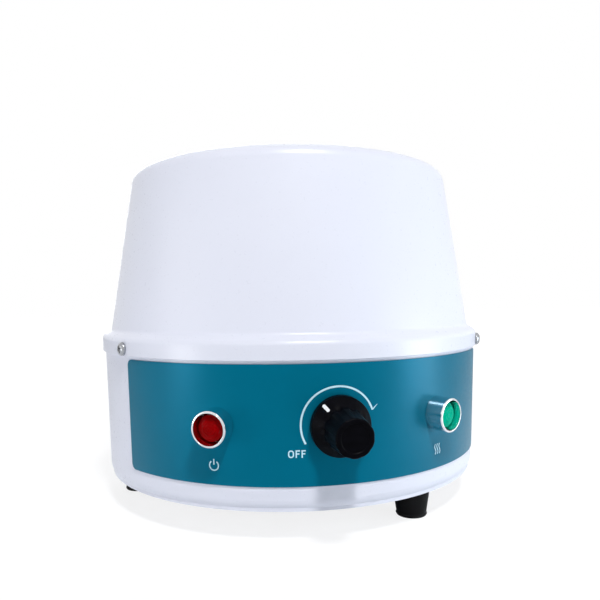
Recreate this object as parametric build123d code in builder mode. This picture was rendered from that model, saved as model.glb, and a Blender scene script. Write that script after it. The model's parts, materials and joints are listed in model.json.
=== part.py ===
from build123d import *
import os
from math import cos, radians, sin, sqrt, tan

# Electric heating mantle for a 500 ml round-bottom flask, in millimetres.
# Origin: on the bench, on the axis of the round case. +Z is up, the control panel faces -Y.
os.makedirs("parts", exist_ok=True)

# ---- Base pan: a deep-drawn steel cup that widens upward ----
foot_height = 12.8
pan_height = 67.0
pan_draft = 2.08
pan_wall = 1.0
pan_corner = 6.0
vent_count = 12
vent_length = 20.0
vent_width = 3.0
vent_circle = 58.0
vent_start = 15.0

# ---- Printed control panel, glued round the pan ----
panel_lift = 11.6
panel_gap = 1.3
panel_half_angle = 58.65
panel_thickness = 0.5
panel_corner = 3.0

# ---- Upper shell: a spun steel cone whose skirt laps over the pan ----
shell_wall = 1.0
skirt_gap = 0.3
skirt_lap = 4.1
skirt_straight = 4.5
skirt_curl = 4.0
cone_foot_inset = 4.9
cone_foot_lift = 11.9
cone_angle = 8.04
shell_room = 6.22
neck_radius = 20.0
shoulder_radius = 7.0
mouth_gap = 1.0
mouth_lip = 5.0
mouth_curl = 3.0

# ---- Flask well ----
bowl_radius = 55.0
bowl_collar = 8.0
jacket_thickness = 3.0
jacket_flange = 10.0
jacket_flange_thickness = 2.5
jacket_rim_drop = 1.0
element_radius = 1.1
element_gap = 0.05
element_turns = 10
element_first_angle = 16.0
element_pitch_angle = 7.0
insulation_thickness = 13.0
dish_wall = 1.0
dish_flange = 7.0
dish_stud_length = 10.0
stud_angles = (0.0, 120.0, 240.0)
bead_radius = 3.5
bead_below_dish = 3.0

# ---- Fasteners ----
m3_radius = 1.5
m3_hole_radius = 1.7
m3_head_radius = 3.1
m3_head_height = 2.1
m3_nut_flats = 5.5
m3_nut_height = 2.4
m4_radius = 2.0
m4_hole_radius = 2.2
m4_head_radius = 3.9
m4_head_height = 2.6
m4_nut_flats = 7.0
m4_nut_height = 3.2
head_rim_share = 0.45
head_crown_share = 0.55
cross_width = 0.9
cross_depth = 1.2

# How far a cut runs past the thin wall it goes through
through = 3.0

# ---- Joint between pan and shell: three bent brackets, each with one screw ----
shell_screw_angles = (-60.0, 60.0, 180.0)
shell_screw_drop = 0.8
shell_screw_length = 7.0
bracket_width = 14.0
bracket_height = 16.0
bracket_leg = 14.0
bracket_sheet = 1.5
bracket_above_screw = 2.5

# ---- Heat shield between the well and the electrics ----
shield_sheet = 1.0
shield_gap = 0.4
shield_screw_length = 8.0
shield_lead_hole = 4.0

# ---- Feet ----
foot_angles = (30.0, 150.0, -90.0)
foot_inset = 13.8
foot_top_radius = 8.2
foot_bottom_radius = 7.0
foot_lip = 0.6
foot_lip_height = 1.6
foot_counterbore_radius = 4.3
foot_counterbore_depth = 5.0
foot_screw_length = 14.0

# ---- Indicator lamps, left and right of the knob ----
lamp_angle = 29.1
bezel_radius = 7.5
bezel_length = 8.3
bezel_edge = 0.7
bezel_mouth_radius = 6.6
bezel_floor_radius = 5.6
bezel_floor = 2.8
bezel_shank_radius = 5.9
bezel_shank_length = 13.0
bezel_bore_radius = 4.5
lamp_hole_clearance = 0.1
lens_flange_radius = 5.4
lens_dome_radius = 4.9
lens_length = 4.6
lens_wall = 1.2
lens_stem = 3.0
lens_flange_height = 1.0
lamp_nut_flats = 14.0
lamp_nut_height = 2.5
lamp_socket_length = 9.0
bulb_radius = 2.9
bulb_length = 12.0
bulb_stand = 4.0
bulb_tip_fillet = 2.4
lamp_tab_width = 2.8
lamp_tab_length = 7.0
lamp_tab_sheet = 0.8

# ---- Control knob and potentiometer ----
knob_gap = 1.3
knob_length = 21.5
knob_skirt_radius = 12.2
knob_skirt_edge = 2.4
knob_skirt_bevel = 0.5
knob_cone_height = 5.8
knob_barrel_radius = 8.9
knob_barrel_taper = 3.0
knob_flutes = 10
flute_radius = 2.4
flute_depth = 0.8
knob_recess_radius = 8.6
knob_recess_depth = 5.0
knob_roof = 5.0
knob_insert_radius = 4.6
knob_dish_radius = 5.6
knob_dish_depth = 0.4
pointer_angle = 130.0
pointer_width = 1.4
pointer_length = 4.2
pointer_depth = 0.4
pointer_proud = 0.1
pointer_margin = 0.5
set_screw_lift = 10.5
set_screw_length = 3.6
pot_shaft_radius = 3.0
pot_shaft_clearance = 0.05
pot_shaft_depth = 9.0
pot_shaft_end_gap = 0.5
pot_bush_radius = 4.5
pot_bush_length = 5.0
pot_hole_clearance = 0.25
pot_can_radius = 12.0
pot_can_length = 9.0
pot_switch_radius = 11.0
pot_switch_length = 9.0
pot_tab_width = 2.4
pot_tab_length = 7.0
pot_tab_spacing = 6.0
pot_tab_sheet = 0.8
pot_washer_radius = 7.5
pot_washer_sheet = 0.6
pot_nut_flats = 12.0
pot_nut_height = 2.0

# ---- Mains inlet gland at the back ----
rear_lift = 28.0
gland_angle = 180.0
gland_flats = 19.0
gland_thread_radius = 7.6
gland_inner_thread = 9.0
gland_flange = 5.0
gland_outer_thread = 7.0
gland_entry_radius = 4.3
gland_seal_radius = 5.8
gland_seal_length = 10.0
gland_cord_radius = 3.5
gland_dome_length = 17.4
gland_dome_gap = 0.2
gland_dome_mouth = 6.4
gland_dome_rise = 7.0
gland_dome_curve = 9.8
gland_bevel = 0.8
gland_seal_seat = 5.0
gland_nut_flats = 20.0
gland_nut_height = 4.0

# ---- Fuse holder at the back ----
fuse_angle = 208.0
fuse_flange_radius = 7.6
fuse_flange = 2.2
fuse_flange_fillet = 0.8
fuse_body_radius = 6.0
fuse_body_length = 26.0
fuse_bore_radius = 4.6
fuse_bore_depth = 22.0
fuse_nut_flats = 15.0
fuse_nut_height = 3.0
fuse_cap_radius = 6.2
fuse_cap_length = 6.5
fuse_cap_gap = 0.3
fuse_cap_ribs = 12
fuse_cap_rib_radius = 0.7
fuse_cap_rib_length = 5.2
fuse_plug_length = 6.0
fuse_plug_clearance = 0.06
fuse_slot_width = 1.2
fuse_slot_length = 9.3
fuse_slot_depth = 1.4
fuse_link_radius = 2.6
fuse_link_length = 20.0
fuse_link_grip = 4.0
fuse_tab_width = 4.8
fuse_tab_length = 8.0
fuse_tab_sheet = 0.8
fuse_side_tab = 16.0

# ---- Control board on the pan's floor ----
board_length = 84.0
board_width = 56.0
board_thickness = 1.6
board_shift = 6.0
board_corner = 2.0
board_hole_inset = 5.0
standoff_height = 8.0
standoff_flats = 5.5
board_screw_length = 5.0
sink_length = 34.0
sink_depth = 18.0
sink_height = 26.0
sink_plate = 3.0
sink_fins = 7
sink_fin_sheet = 1.4
sink_x = -14.0
sink_y = 14.0
triac_width = 10.0
triac_thickness = 4.4
triac_height = 15.0
triac_lift = 6.0
triac_tab_thickness = 1.3
triac_tab_height = 6.0
triac_leg = 0.9
triac_leg_pitch = 2.54
capacitor_length = 18.0
capacitor_width = 8.5
capacitor_height = 14.0
capacitor_edge = 1.0
capacitor_x = 20.0
capacitor_y = 14.0
choke_radius = 8.5
choke_bore_radius = 4.0
choke_thickness = 8.0
choke_edge = 1.6
choke_x = 20.0
choke_y = -10.0
connector_poles = 6
connector_pitch = 5.0
connector_depth = 8.0
connector_height = 10.0
connector_hole_radius = 1.3
connector_hole_depth = 5.0
connector_x = -16.0
connector_y = -20.0

# ---- Terminal block under the well, and the earth stud ----
block_width = 16.0
block_height = 13.0
block_end = 8.0
block_corner = 2.0
block_screw_offset = 6.0
block_lead_depth = 10.0
block_room = 7.3
earth_angle = 210.0
earth_inset = 26.0
earth_stud_length = 14.0
earth_nut_lift = 5.0

# ---- Heights and radii that follow from the sizes above ----
pan_floor = foot_height + pan_wall
pan_rim = foot_height + pan_height
skirt_low = pan_rim - skirt_lap
skirt_top = skirt_low + skirt_straight
cone_foot_z = skirt_low + cone_foot_lift
panel_low = foot_height + panel_lift
panel_high = skirt_low - panel_gap
controls_z = (panel_low + panel_high) / 2
rear_z = foot_height + rear_lift
shell_screw_z = pan_rim - shell_screw_drop
bracket_top = shell_screw_z + bracket_above_screw
bracket_low = bracket_top - bracket_height
leg_top = bracket_low + bracket_sheet
shield_top = leg_top + shield_sheet
block_top = shield_top + block_height
jacket_radius = bowl_radius + jacket_thickness
mouth_radius = jacket_radius + mouth_gap
insulation_radius = jacket_radius + insulation_thickness
dish_radius = insulation_radius + dish_wall
bowl_centre = block_top + block_room + dish_radius
shell_top = bowl_centre + bowl_collar
jacket_top = shell_top - jacket_rim_drop
shell_ceiling = shell_top - shell_wall
lip_end = shell_top - mouth_lip
element_ring_radius = bowl_radius - element_radius - element_gap

# The well sets the width: the cone clears the dish's flange, and the pan's rim fits the skirt.
draft_slope = tan(radians(pan_draft))
cone_top_radius = dish_radius + dish_flange + shell_room
cone_foot_radius = cone_top_radius + (shell_top - cone_foot_z) * tan(radians(cone_angle))
skirt_offset = (skirt_gap + shell_wall) / cos(radians(pan_draft))
pan_rim_radius = cone_foot_radius + cone_foot_inset - skirt_offset - (skirt_top - pan_rim) * draft_slope


def pan_radius(z):
    """Outside radius of the pan's wall at height z."""
    return pan_rim_radius - (pan_rim - z) * draft_slope


def outward(azimuth):
    """Horizontal direction at an azimuth counted from the front towards +X."""
    return Vector(sin(radians(azimuth)), -cos(radians(azimuth)), 0)


def meridian(azimuth):
    """Upright plane through the case's axis: x is the radius, y is the height."""
    direction = outward(azimuth)
    return Plane(origin=(0, 0, 0), x_dir=direction, z_dir=direction.cross(Vector(0, 0, 1)))


def wall_seat(azimuth, z, depth=0.0):
    """Plane on the outside of the pan's wall, or depth outside it, whose z points straight out."""
    slope = radians(pan_draft)
    normal = outward(azimuth) * cos(slope) - Vector(0, 0, sin(slope))
    point = outward(azimuth) * pan_radius(z) + Vector(0, 0, z) + normal * depth
    return Plane(origin=point, x_dir=outward(azimuth + 90), z_dir=normal)


def inner_seat(azimuth, z, reach):
    """Plane inside the wall, pointing inward, where a flat face of this reach meets the curve."""
    inside_radius = pan_radius(z) - pan_wall
    sag = inside_radius - sqrt(inside_radius**2 - reach**2)
    out = wall_seat(azimuth, z, -pan_wall - sag)
    return Plane(origin=out.origin, x_dir=out.x_dir, z_dir=out.z_dir * -1)


def upright(x, y, z):
    """Level plane at a point, with z up."""
    return Plane(origin=(x, y, z), x_dir=(1, 0, 0), z_dir=(0, 0, 1))


def polar_upright(radius, azimuth, z):
    """Level plane at a radius and azimuth, with x pointing away from the case's axis."""
    return Plane(origin=outward(azimuth) * radius + Vector(0, 0, z), x_dir=outward(azimuth), z_dir=(0, 0, 1))


def facing_down(seat):
    """The same seat with its z turned round."""
    return Plane(origin=seat.origin, x_dir=seat.x_dir, z_dir=seat.z_dir * -1)


def profile_plane(seat):
    """Plane through a seat's axis: x is the radius from it, y is the height above the seat."""
    return Plane(origin=seat.origin, x_dir=seat.x_dir, z_dir=seat.x_dir.cross(seat.z_dir))


def turn(seat, outline, mode=Mode.ADD):
    """Turn a closed outline of (radius, height) points about a seat's axis."""
    with BuildSketch(profile_plane(seat)) as half:
        with BuildLine():
            Polyline(*outline, close=True)
        make_face()
    revolve(half.sketch, axis=Axis(seat.origin, seat.z_dir), mode=mode)


def disc(seat, radius, low, high, mode=Mode.ADD):
    """Cylinder on a seat's axis between two heights above it."""
    with BuildSketch(seat.offset(low)) as face:
        Circle(radius)
    extrude(face.sketch, amount=high - low, mode=mode)


def hexagon(seat, flats, low, high, mode=Mode.ADD):
    """Hexagonal prism on a seat's axis between two heights above it."""
    with BuildSketch(seat.offset(low)) as face:
        RegularPolygon(flats / 2, 6, major_radius=False)
    extrude(face.sketch, amount=high - low, mode=mode)


def hex_reach(flats):
    """Distance from a hexagon's centre to its corner."""
    return flats / 2 / cos(radians(30))


def pan_screw(seat, radius, length, head_radius, head_height):
    """Cross-recessed pan-head screw whose head sits on the seat and whose shank points back."""
    rim = head_height * head_rim_share
    crown = head_radius * head_crown_share
    outline = [(0, -length), (radius, -length), (radius, 0), (head_radius, 0)]
    turn(seat, outline + [(head_radius, rim), (crown, head_height), (0, head_height)])
    with BuildSketch(seat.offset(head_height - cross_depth)) as recess:
        Rectangle(crown * 2, cross_width)
        Rectangle(cross_width, crown * 2)
    extrude(recess.sketch, amount=cross_depth, mode=Mode.SUBTRACT)


def nut(seat, flats, height, radius):
    """Hexagon nut standing on the seat."""
    hexagon(seat, flats, 0, height)
    disc(seat, radius, 0, height, mode=Mode.SUBTRACT)


def save(piece, name):
    """Label a finished piece and write it under the same name."""
    piece.part.label = name
    export_step(piece.part, f"parts/{name}.step")


knob_seat = wall_seat(0, controls_z, panel_thickness)
control_seats = [wall_seat(angle, controls_z) for angle in (-lamp_angle, lamp_angle)]
gland_seat = wall_seat(gland_angle, rear_z)
fuse_seat = wall_seat(fuse_angle, rear_z)
foot_circle = pan_radius(foot_height) - foot_inset
foot_seats = [polar_upright(foot_circle, angle, 0) for angle in foot_angles]
shell_screw_seats = [
    wall_seat(angle, shell_screw_z, skirt_gap + shell_wall) for angle in shell_screw_angles
]
stud_circle = dish_radius + dish_flange / 2
stud_seats = [polar_upright(stud_circle, angle, shell_ceiling) for angle in stud_angles]
earth_seat = polar_upright(pan_radius(foot_height) - earth_inset, earth_angle, pan_floor)
board_z = pan_floor + standoff_height
board_spans = (board_length / 2 - board_hole_inset, board_width / 2 - board_hole_inset)
standoff_seats = [
    upright(sx * board_spans[0], board_shift + sy * board_spans[1], pan_floor)
    for sx in (-1, 1)
    for sy in (-1, 1)
]
pot_hole_radius = pot_bush_radius + pot_hole_clearance
lamp_hole_radius = bezel_shank_radius + lamp_hole_clearance
gland_hole_radius = gland_thread_radius
fuse_hole_radius = fuse_body_radius

# ---- Base pan ----
with BuildPart() as base_pan:
    with BuildSketch(meridian(0)):
        with BuildLine():
            Polyline(
                (0, foot_height),
                (pan_radius(foot_height), foot_height),
                (pan_radius(pan_rim), pan_rim),
                (pan_radius(pan_rim) - pan_wall, pan_rim),
                (pan_radius(pan_floor) - pan_wall, pan_floor),
                (0, pan_floor),
                close=True,
            )
        make_face()
        rows = vertices().group_by(Axis.Y)
        fillet(rows[0].sort_by(Axis.X)[-1], pan_corner)
        fillet(rows[1].sort_by(Axis.X)[-1], pan_corner - pan_wall)
    revolve(axis=Axis.Z)
    disc(wall_seat(0, controls_z), pot_hole_radius, -through, through, mode=Mode.SUBTRACT)
    for seat in control_seats:
        disc(seat, lamp_hole_radius, -through, through, mode=Mode.SUBTRACT)
    disc(gland_seat, gland_hole_radius, -through, through, mode=Mode.SUBTRACT)
    disc(fuse_seat, fuse_hole_radius, -through, through, mode=Mode.SUBTRACT)
    for angle in shell_screw_angles:
        with BuildSketch(wall_seat(angle, shell_screw_z)) as notch:
            Circle(m3_hole_radius)
            Rectangle(m3_hole_radius * 2, through, align=(Align.CENTER, Align.MIN))
        extrude(notch.sketch, amount=through, both=True, mode=Mode.SUBTRACT)
    for seat in foot_seats:
        disc(seat, m4_hole_radius, foot_height, pan_floor, mode=Mode.SUBTRACT)
    for seat in standoff_seats:
        disc(seat, m3_hole_radius, -pan_wall, 0, mode=Mode.SUBTRACT)
    with BuildSketch(Plane.XY.offset(foot_height)) as vents:
        with PolarLocations(vent_circle, vent_count, start_angle=vent_start):
            SlotOverall(vent_length, vent_width)
    extrude(vents.sketch, amount=pan_wall, mode=Mode.SUBTRACT)
    disc(earth_seat, m4_radius, 0, earth_stud_length)
save(base_pan, "base_pan")

# ---- Control panel: a thin printed plate that follows the pan's wall ----
panel_rise = panel_thickness / cos(radians(pan_draft))
with BuildPart() as front_panel:
    with BuildSketch(meridian(-panel_half_angle)):
        with BuildLine():
            Polyline(
                (pan_radius(panel_low), panel_low),
                (pan_radius(panel_low) + panel_rise, panel_low),
                (pan_radius(panel_high) + panel_rise, panel_high),
                (pan_radius(panel_high), panel_high),
                close=True,
            )
        make_face()
    revolve(axis=Axis.Z, revolution_arc=panel_half_angle * 2)
    fillet(edges().sort_by(SortBy.LENGTH)[:4], panel_corner)
    disc(wall_seat(0, controls_z), pot_hole_radius, -through, through, mode=Mode.SUBTRACT)
    for seat in control_seats:
        disc(seat, lamp_hole_radius, -through, through, mode=Mode.SUBTRACT)
save(front_panel, "front_panel")

# ---- Upper shell: skirt, neck, cone, shoulder and rolled mouth in one spun sheet ----
with BuildPart() as upper_shell:
    with BuildSketch(meridian(0)):
        with BuildLine():
            FilletPolyline(
                (pan_radius(skirt_low) + skirt_offset, skirt_low),
                (pan_radius(skirt_top) + skirt_offset, skirt_top),
                (cone_foot_radius, cone_foot_z),
                (cone_top_radius, shell_top),
                (mouth_radius, shell_top),
                (mouth_radius, lip_end),
                radius=[skirt_curl, neck_radius, shoulder_radius, mouth_curl],
            )
            offset(amount=shell_wall, side=Side.LEFT)
        make_face()
    revolve(axis=Axis.Z)
    for seat in shell_screw_seats:
        disc(seat, m3_hole_radius, -through, through, mode=Mode.SUBTRACT)
    for seat in stud_seats:
        disc(seat, m3_radius, -dish_stud_length, 0)
save(upper_shell, "upper_shell")

# ---- Brackets: bent steel strips inside the pan that take the shell's screws ----
def bracket_face(z):
    """Radius of a bracket's outer face where its edges touch the inside of the wall."""
    inside = pan_radius(z) - pan_wall
    return sqrt(inside**2 - (bracket_width / 2) ** 2)


leg_inner = bracket_face(bracket_low) - bracket_leg
shield_screw_circle = leg_inner + (bracket_leg - bracket_sheet) / 2
with BuildPart() as shell_brackets:
    for angle, seat in zip(shell_screw_angles, shell_screw_seats):
        with BuildSketch(meridian(angle)) as strip:
            with BuildLine():
                Polyline(
                    (leg_inner, bracket_low),
                    (bracket_face(bracket_low), bracket_low),
                    (bracket_face(bracket_top), bracket_top),
                    (bracket_face(bracket_top) - bracket_sheet, bracket_top),
                    (bracket_face(leg_top) - bracket_sheet, leg_top),
                    (leg_inner, leg_top),
                    close=True,
                )
            make_face()
        extrude(strip.sketch, amount=bracket_width / 2, both=True)
        disc(seat, m3_radius, -shell_screw_length, 0, mode=Mode.SUBTRACT)
        screw_seat = polar_upright(shield_screw_circle, angle, bracket_low)
        disc(screw_seat, m3_hole_radius, 0, bracket_sheet, mode=Mode.SUBTRACT)
save(shell_brackets, "shell_brackets")

with BuildPart() as shell_screws:
    for seat in shell_screw_seats:
        pan_screw(seat, m3_radius, shell_screw_length, m3_head_radius, m3_head_height)
save(shell_screws, "shell_screws")

# ---- Heat shield on the brackets' legs ----
shield_radius = bracket_face(leg_top) - bracket_sheet - shield_gap
lead_x = element_ring_radius * sin(radians(element_first_angle))
block_screw_seats = [upright(side * block_screw_offset, 0, shield_top) for side in (-1, 1)]
with BuildPart() as heat_shield:
    disc(Plane.XY, shield_radius, leg_top, shield_top)
    for angle in shell_screw_angles:
        screw_seat = polar_upright(shield_screw_circle, angle, leg_top)
        disc(screw_seat, m3_hole_radius, 0, shield_sheet, mode=Mode.SUBTRACT)
    for seat in block_screw_seats:
        disc(seat, m3_hole_radius, -shield_sheet, 0, mode=Mode.SUBTRACT)
    for side in (-1, 1):
        wire_seat = upright(side * lead_x, 0, leg_top)
        disc(wire_seat, shield_lead_hole, 0, shield_sheet, mode=Mode.SUBTRACT)
save(heat_shield, "heat_shield")

with BuildPart() as shield_screws:
    for angle in shell_screw_angles:
        screw_seat = polar_upright(shield_screw_circle, angle, shield_top)
        pan_screw(screw_seat, m3_radius, shield_screw_length, m3_head_radius, m3_head_height)
    for seat in block_screw_seats:
        top = seat.offset(block_height)
        pan_screw(top, m3_radius, block_height + shield_screw_length, m3_head_radius, m3_head_height)
save(shield_screws, "shield_screws")

with BuildPart() as shield_nuts:
    for angle in shell_screw_angles:
        under_leg = facing_down(polar_upright(shield_screw_circle, angle, bracket_low))
        nut(under_leg, m3_nut_flats, m3_nut_height, m3_radius)
    for seat in block_screw_seats:
        nut(facing_down(seat.offset(-shield_sheet)), m3_nut_flats, m3_nut_height, m3_radius)
save(shield_nuts, "shield_nuts")


# ---- Flask well ----
def cup(inner, outer, top):
    """Round-bottomed cup round the well's centre, open at the top."""
    with BuildSketch(meridian(0)) as half:
        with BuildLine():
            Line((outer, top), (outer, bowl_centre))
            CenterArc((0, bowl_centre), outer, 0, -90)
            Line((0, bowl_centre - outer), (0, bowl_centre - inner))
            CenterArc((0, bowl_centre), inner, -90, 90)
            Line((inner, bowl_centre), (inner, top))
            Line((inner, top), (outer, top))
        make_face()
    revolve(half.sketch, axis=Axis.Z)


def brim(inner, outer, low, high):
    """Flat ring round the case's axis."""
    turn(Plane.XY, [(inner, low), (outer, low), (outer, high), (inner, high)])


# The sleeved resistance cord lies in rounds on the jacket's inner face; its two tails go down.
first_round_z = bowl_centre - element_ring_radius * cos(radians(element_first_angle))
tail_top = first_round_z - element_radius - element_gap
lead_end = block_top - block_lead_depth
with BuildPart() as heating_element:
    for count in range(element_turns):
        angle = radians(element_first_angle + count * element_pitch_angle)
        with Locations((0, 0, bowl_centre - element_ring_radius * cos(angle))):
            Torus(element_ring_radius * sin(angle), element_radius)
    for side in (-1, 1):
        disc(upright(side * lead_x, 0, 0), element_radius, lead_end, tail_top)
save(heating_element, "heating_element")

with BuildPart() as heating_jacket:
    cup(bowl_radius, jacket_radius, jacket_top)
    brim(jacket_radius, jacket_radius + jacket_flange, lip_end - jacket_flange_thickness, lip_end)
    for side in (-1, 1):
        disc(upright(side * lead_x, 0, 0), element_radius, lead_end, first_round_z, mode=Mode.SUBTRACT)
save(heating_jacket, "heating_jacket")

bead_low = bowl_centre - sqrt(dish_radius**2 - lead_x**2) - bead_below_dish
bead_high = bowl_centre - sqrt(jacket_radius**2 - (lead_x - bead_radius) ** 2)
with BuildPart() as insulation_blanket:
    cup(jacket_radius, insulation_radius, lip_end - jacket_flange_thickness)
    for side in (-1, 1):
        disc(upright(side * lead_x, 0, 0), bead_radius, bead_low, bowl_centre, mode=Mode.SUBTRACT)
save(insulation_blanket, "insulation_blanket")

with BuildPart() as support_dish:
    cup(insulation_radius, dish_radius, shell_ceiling)
    brim(dish_radius, dish_radius + dish_flange, shell_ceiling - dish_wall, shell_ceiling)
    for seat in stud_seats:
        disc(seat, m3_hole_radius, -dish_wall, 0, mode=Mode.SUBTRACT)
    for side in (-1, 1):
        disc(upright(side * lead_x, 0, 0), bead_radius, bead_low, bowl_centre, mode=Mode.SUBTRACT)
save(support_dish, "support_dish")

with BuildPart() as dish_nuts:
    for seat in stud_seats:
        nut(facing_down(seat.offset(-dish_wall)), m3_nut_flats, m3_nut_height, m3_radius)
save(dish_nuts, "dish_nuts")

# Ceramic beads carry the two tails through the insulation and the dish.
with BuildPart() as lead_beads:
    for side in (-1, 1):
        bead_seat = upright(side * lead_x, 0, 0)
        disc(bead_seat, bead_radius, bead_low, bead_high)
        disc(bead_seat, element_radius, bead_low, bead_high, mode=Mode.SUBTRACT)
save(lead_beads, "lead_beads")

clamp_z = (lead_end + block_top) / 2
clamp_seats = [
    Plane(origin=(side * lead_x, -block_width / 2, clamp_z), x_dir=(1, 0, 0), z_dir=(0, -1, 0))
    for side in (-1, 1)
]
clamp_length = block_width / 2 - element_radius
with BuildPart() as terminal_block:
    with BuildSketch(Plane.XY.offset(shield_top)):
        Rectangle((lead_x + block_end) * 2, block_width)
    extrude(amount=block_height)
    fillet(edges().filter_by(Axis.Z), block_corner)
    for side in (-1, 1):
        disc(upright(side * lead_x, 0, 0), element_radius, lead_end, block_top, mode=Mode.SUBTRACT)
    for seat in clamp_seats:
        disc(seat, m3_radius, -clamp_length, 0, mode=Mode.SUBTRACT)
    for seat in block_screw_seats:
        disc(seat, m3_radius, 0, block_height, mode=Mode.SUBTRACT)
save(terminal_block, "terminal_block")

with BuildPart() as clamp_screws:
    for seat in clamp_seats:
        pan_screw(seat, m3_radius, clamp_length, m3_head_radius, m3_head_height)
save(clamp_screws, "clamp_screws")

# ---- Feet: tapered rubber, bolted through the pan's floor ----
foot_names = ("foot_front", "foot_rear", "foot_left")
for name, seat in zip(foot_names, foot_seats):
    with BuildPart() as foot:
        outline = [
            (0, 0),
            (foot_bottom_radius, 0),
            (foot_bottom_radius + foot_lip, foot_lip_height / 2),
            (foot_bottom_radius, foot_lip_height),
            (foot_top_radius, foot_height),
            (0, foot_height),
        ]
        turn(seat, outline)
        disc(seat, foot_counterbore_radius, 0, foot_counterbore_depth, mode=Mode.SUBTRACT)
        disc(seat, m4_radius, 0, foot_height, mode=Mode.SUBTRACT)
    save(foot, name)

with BuildPart() as foot_screws:
    for seat in foot_seats:
        head_seat = facing_down(seat.offset(foot_counterbore_depth))
        pan_screw(head_seat, m4_radius, foot_screw_length, m4_head_radius, m4_head_height)
save(foot_screws, "foot_screws")

with BuildPart() as foot_nuts:
    for seat in foot_seats:
        nut(seat.offset(pan_floor), m4_nut_flats, m4_nut_height, m4_radius)
save(foot_nuts, "foot_nuts")


# ---- Indicator lamps: the same neon lamp twice, with a red and a green lens ----
def cap_sphere(base, height):
    """Radius of the sphere whose cap has this base radius and height."""
    return (base**2 + height**2) / (2 * height)


for name, angle in (("power_lamp", -lamp_angle), ("heat_lamp", lamp_angle)):
    seat = wall_seat(angle, controls_z, panel_thickness)
    stem_end = bezel_floor - lens_stem
    with BuildPart() as bezel:
        outline = [
            (bezel_bore_radius, -bezel_shank_length),
            (bezel_shank_radius, -bezel_shank_length),
            (bezel_shank_radius, 0),
            (bezel_radius, 0),
            (bezel_radius, bezel_length - bezel_edge),
            (bezel_radius - bezel_edge, bezel_length),
            (bezel_mouth_radius, bezel_length),
            (bezel_floor_radius, bezel_floor),
            (bezel_bore_radius, bezel_floor),
        ]
        turn(seat, outline)
    save(bezel, f"{name}_bezel")

    with BuildPart() as lens:
        roof = bezel_floor + lens_length
        shoulder = bezel_floor + lens_flange_height
        inner_radius = bezel_bore_radius - lens_wall
        with BuildSketch(profile_plane(seat)):
            with BuildLine():
                Polyline(
                    (0, roof - lens_wall),
                    (inner_radius, shoulder),
                    (inner_radius, stem_end),
                    (bezel_bore_radius, stem_end),
                    (bezel_bore_radius, bezel_floor),
                    (lens_flange_radius, bezel_floor),
                    (lens_flange_radius, shoulder),
                    (lens_dome_radius, shoulder),
                )
                RadiusArc(
                    (lens_dome_radius, shoulder),
                    (0, roof),
                    -cap_sphere(lens_dome_radius, roof - shoulder),
                )
                Line((0, roof), (0, roof - lens_wall))
            make_face()
        revolve(axis=Axis(seat.origin, seat.z_dir))
    save(lens, f"{name}_lens")

    with BuildPart() as socket:
        outline = [
            (0, -bezel_shank_length - lamp_socket_length),
            (bezel_shank_radius, -bezel_shank_length - lamp_socket_length),
            (bezel_shank_radius, -bezel_shank_length),
            (bezel_bore_radius, -bezel_shank_length),
            (bezel_bore_radius, stem_end),
            (bulb_radius, stem_end),
            (bulb_radius, stem_end - bulb_length + bulb_stand),
            (0, stem_end - bulb_length + bulb_stand),
        ]
        turn(seat, outline)
    save(socket, f"{name}_socket")

    with BuildPart() as bulb:
        disc(seat, bulb_radius, stem_end - bulb_length + bulb_stand, stem_end + bulb_stand)
        tip = edges().filter_by(GeomType.CIRCLE).sort_by(Axis(seat.origin, seat.z_dir))[-1]
        fillet(tip, bulb_tip_fillet)
    save(bulb, f"{name}_bulb")

    with BuildPart() as lamp_nut:
        nut(
            inner_seat(angle, controls_z, hex_reach(lamp_nut_flats)),
            lamp_nut_flats,
            lamp_nut_height,
            bezel_shank_radius,
        )
    save(lamp_nut, f"{name}_nut")

with BuildPart() as lamp_tabs:
    for angle in (-lamp_angle, lamp_angle):
        socket_end = wall_seat(angle, controls_z, panel_thickness - bezel_shank_length - lamp_socket_length)
        with BuildSketch(socket_end) as pair:
            with Locations((-bulb_radius, 0), (bulb_radius, 0)):
                Rectangle(lamp_tab_sheet, lamp_tab_width)
        extrude(pair.sketch, amount=-lamp_tab_length)
save(lamp_tabs, "lamp_tabs")

# ---- Potentiometer ----
pot_seat = inner_seat(0, controls_z, pot_can_radius)
pot_depth = (pot_seat.origin - knob_seat.origin).length
with BuildPart() as pot_body:
    disc(pot_seat, pot_can_radius, 0, pot_can_length)
    disc(pot_seat, pot_switch_radius, pot_can_length, pot_can_length + pot_switch_length)
    disc(knob_seat, pot_bush_radius, -pot_depth, pot_bush_length)
    bore_radius = pot_shaft_radius + pot_shaft_clearance
    disc(knob_seat, bore_radius, -pot_shaft_depth - pot_shaft_end_gap, pot_bush_length, mode=Mode.SUBTRACT)
save(pot_body, "pot_body")

with BuildPart() as pot_terminals:
    with BuildSketch(pot_seat.offset(pot_can_length / 2)):
        with Locations(*[(x * pot_tab_spacing, pot_can_radius) for x in (-1, 0, 1)]):
            Rectangle(pot_tab_width, pot_tab_length, align=(Align.CENTER, Align.MIN))
    extrude(amount=pot_tab_sheet)
    add(pot_body.part, mode=Mode.SUBTRACT)
save(pot_terminals, "pot_terminals")

with BuildPart() as pot_washer:
    disc(knob_seat, pot_washer_radius, 0, pot_washer_sheet)
    disc(knob_seat, pot_bush_radius, 0, pot_washer_sheet, mode=Mode.SUBTRACT)
save(pot_washer, "pot_washer")

with BuildPart() as pot_nut:
    nut(knob_seat.offset(pot_washer_sheet), pot_nut_flats, pot_nut_height, pot_bush_radius)
save(pot_nut, "pot_nut")

# ---- Control knob: a skirted, fluted bakelite knob on a brass insert ----
knob_front = knob_gap + knob_length
barrel_foot = knob_gap + knob_skirt_edge + knob_cone_height
insert_low = knob_gap + knob_recess_depth
insert_high = knob_front - knob_roof
with BuildPart() as pot_shaft:
    disc(knob_seat, pot_shaft_radius, -pot_shaft_depth, insert_high)
save(pot_shaft, "pot_shaft")

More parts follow.
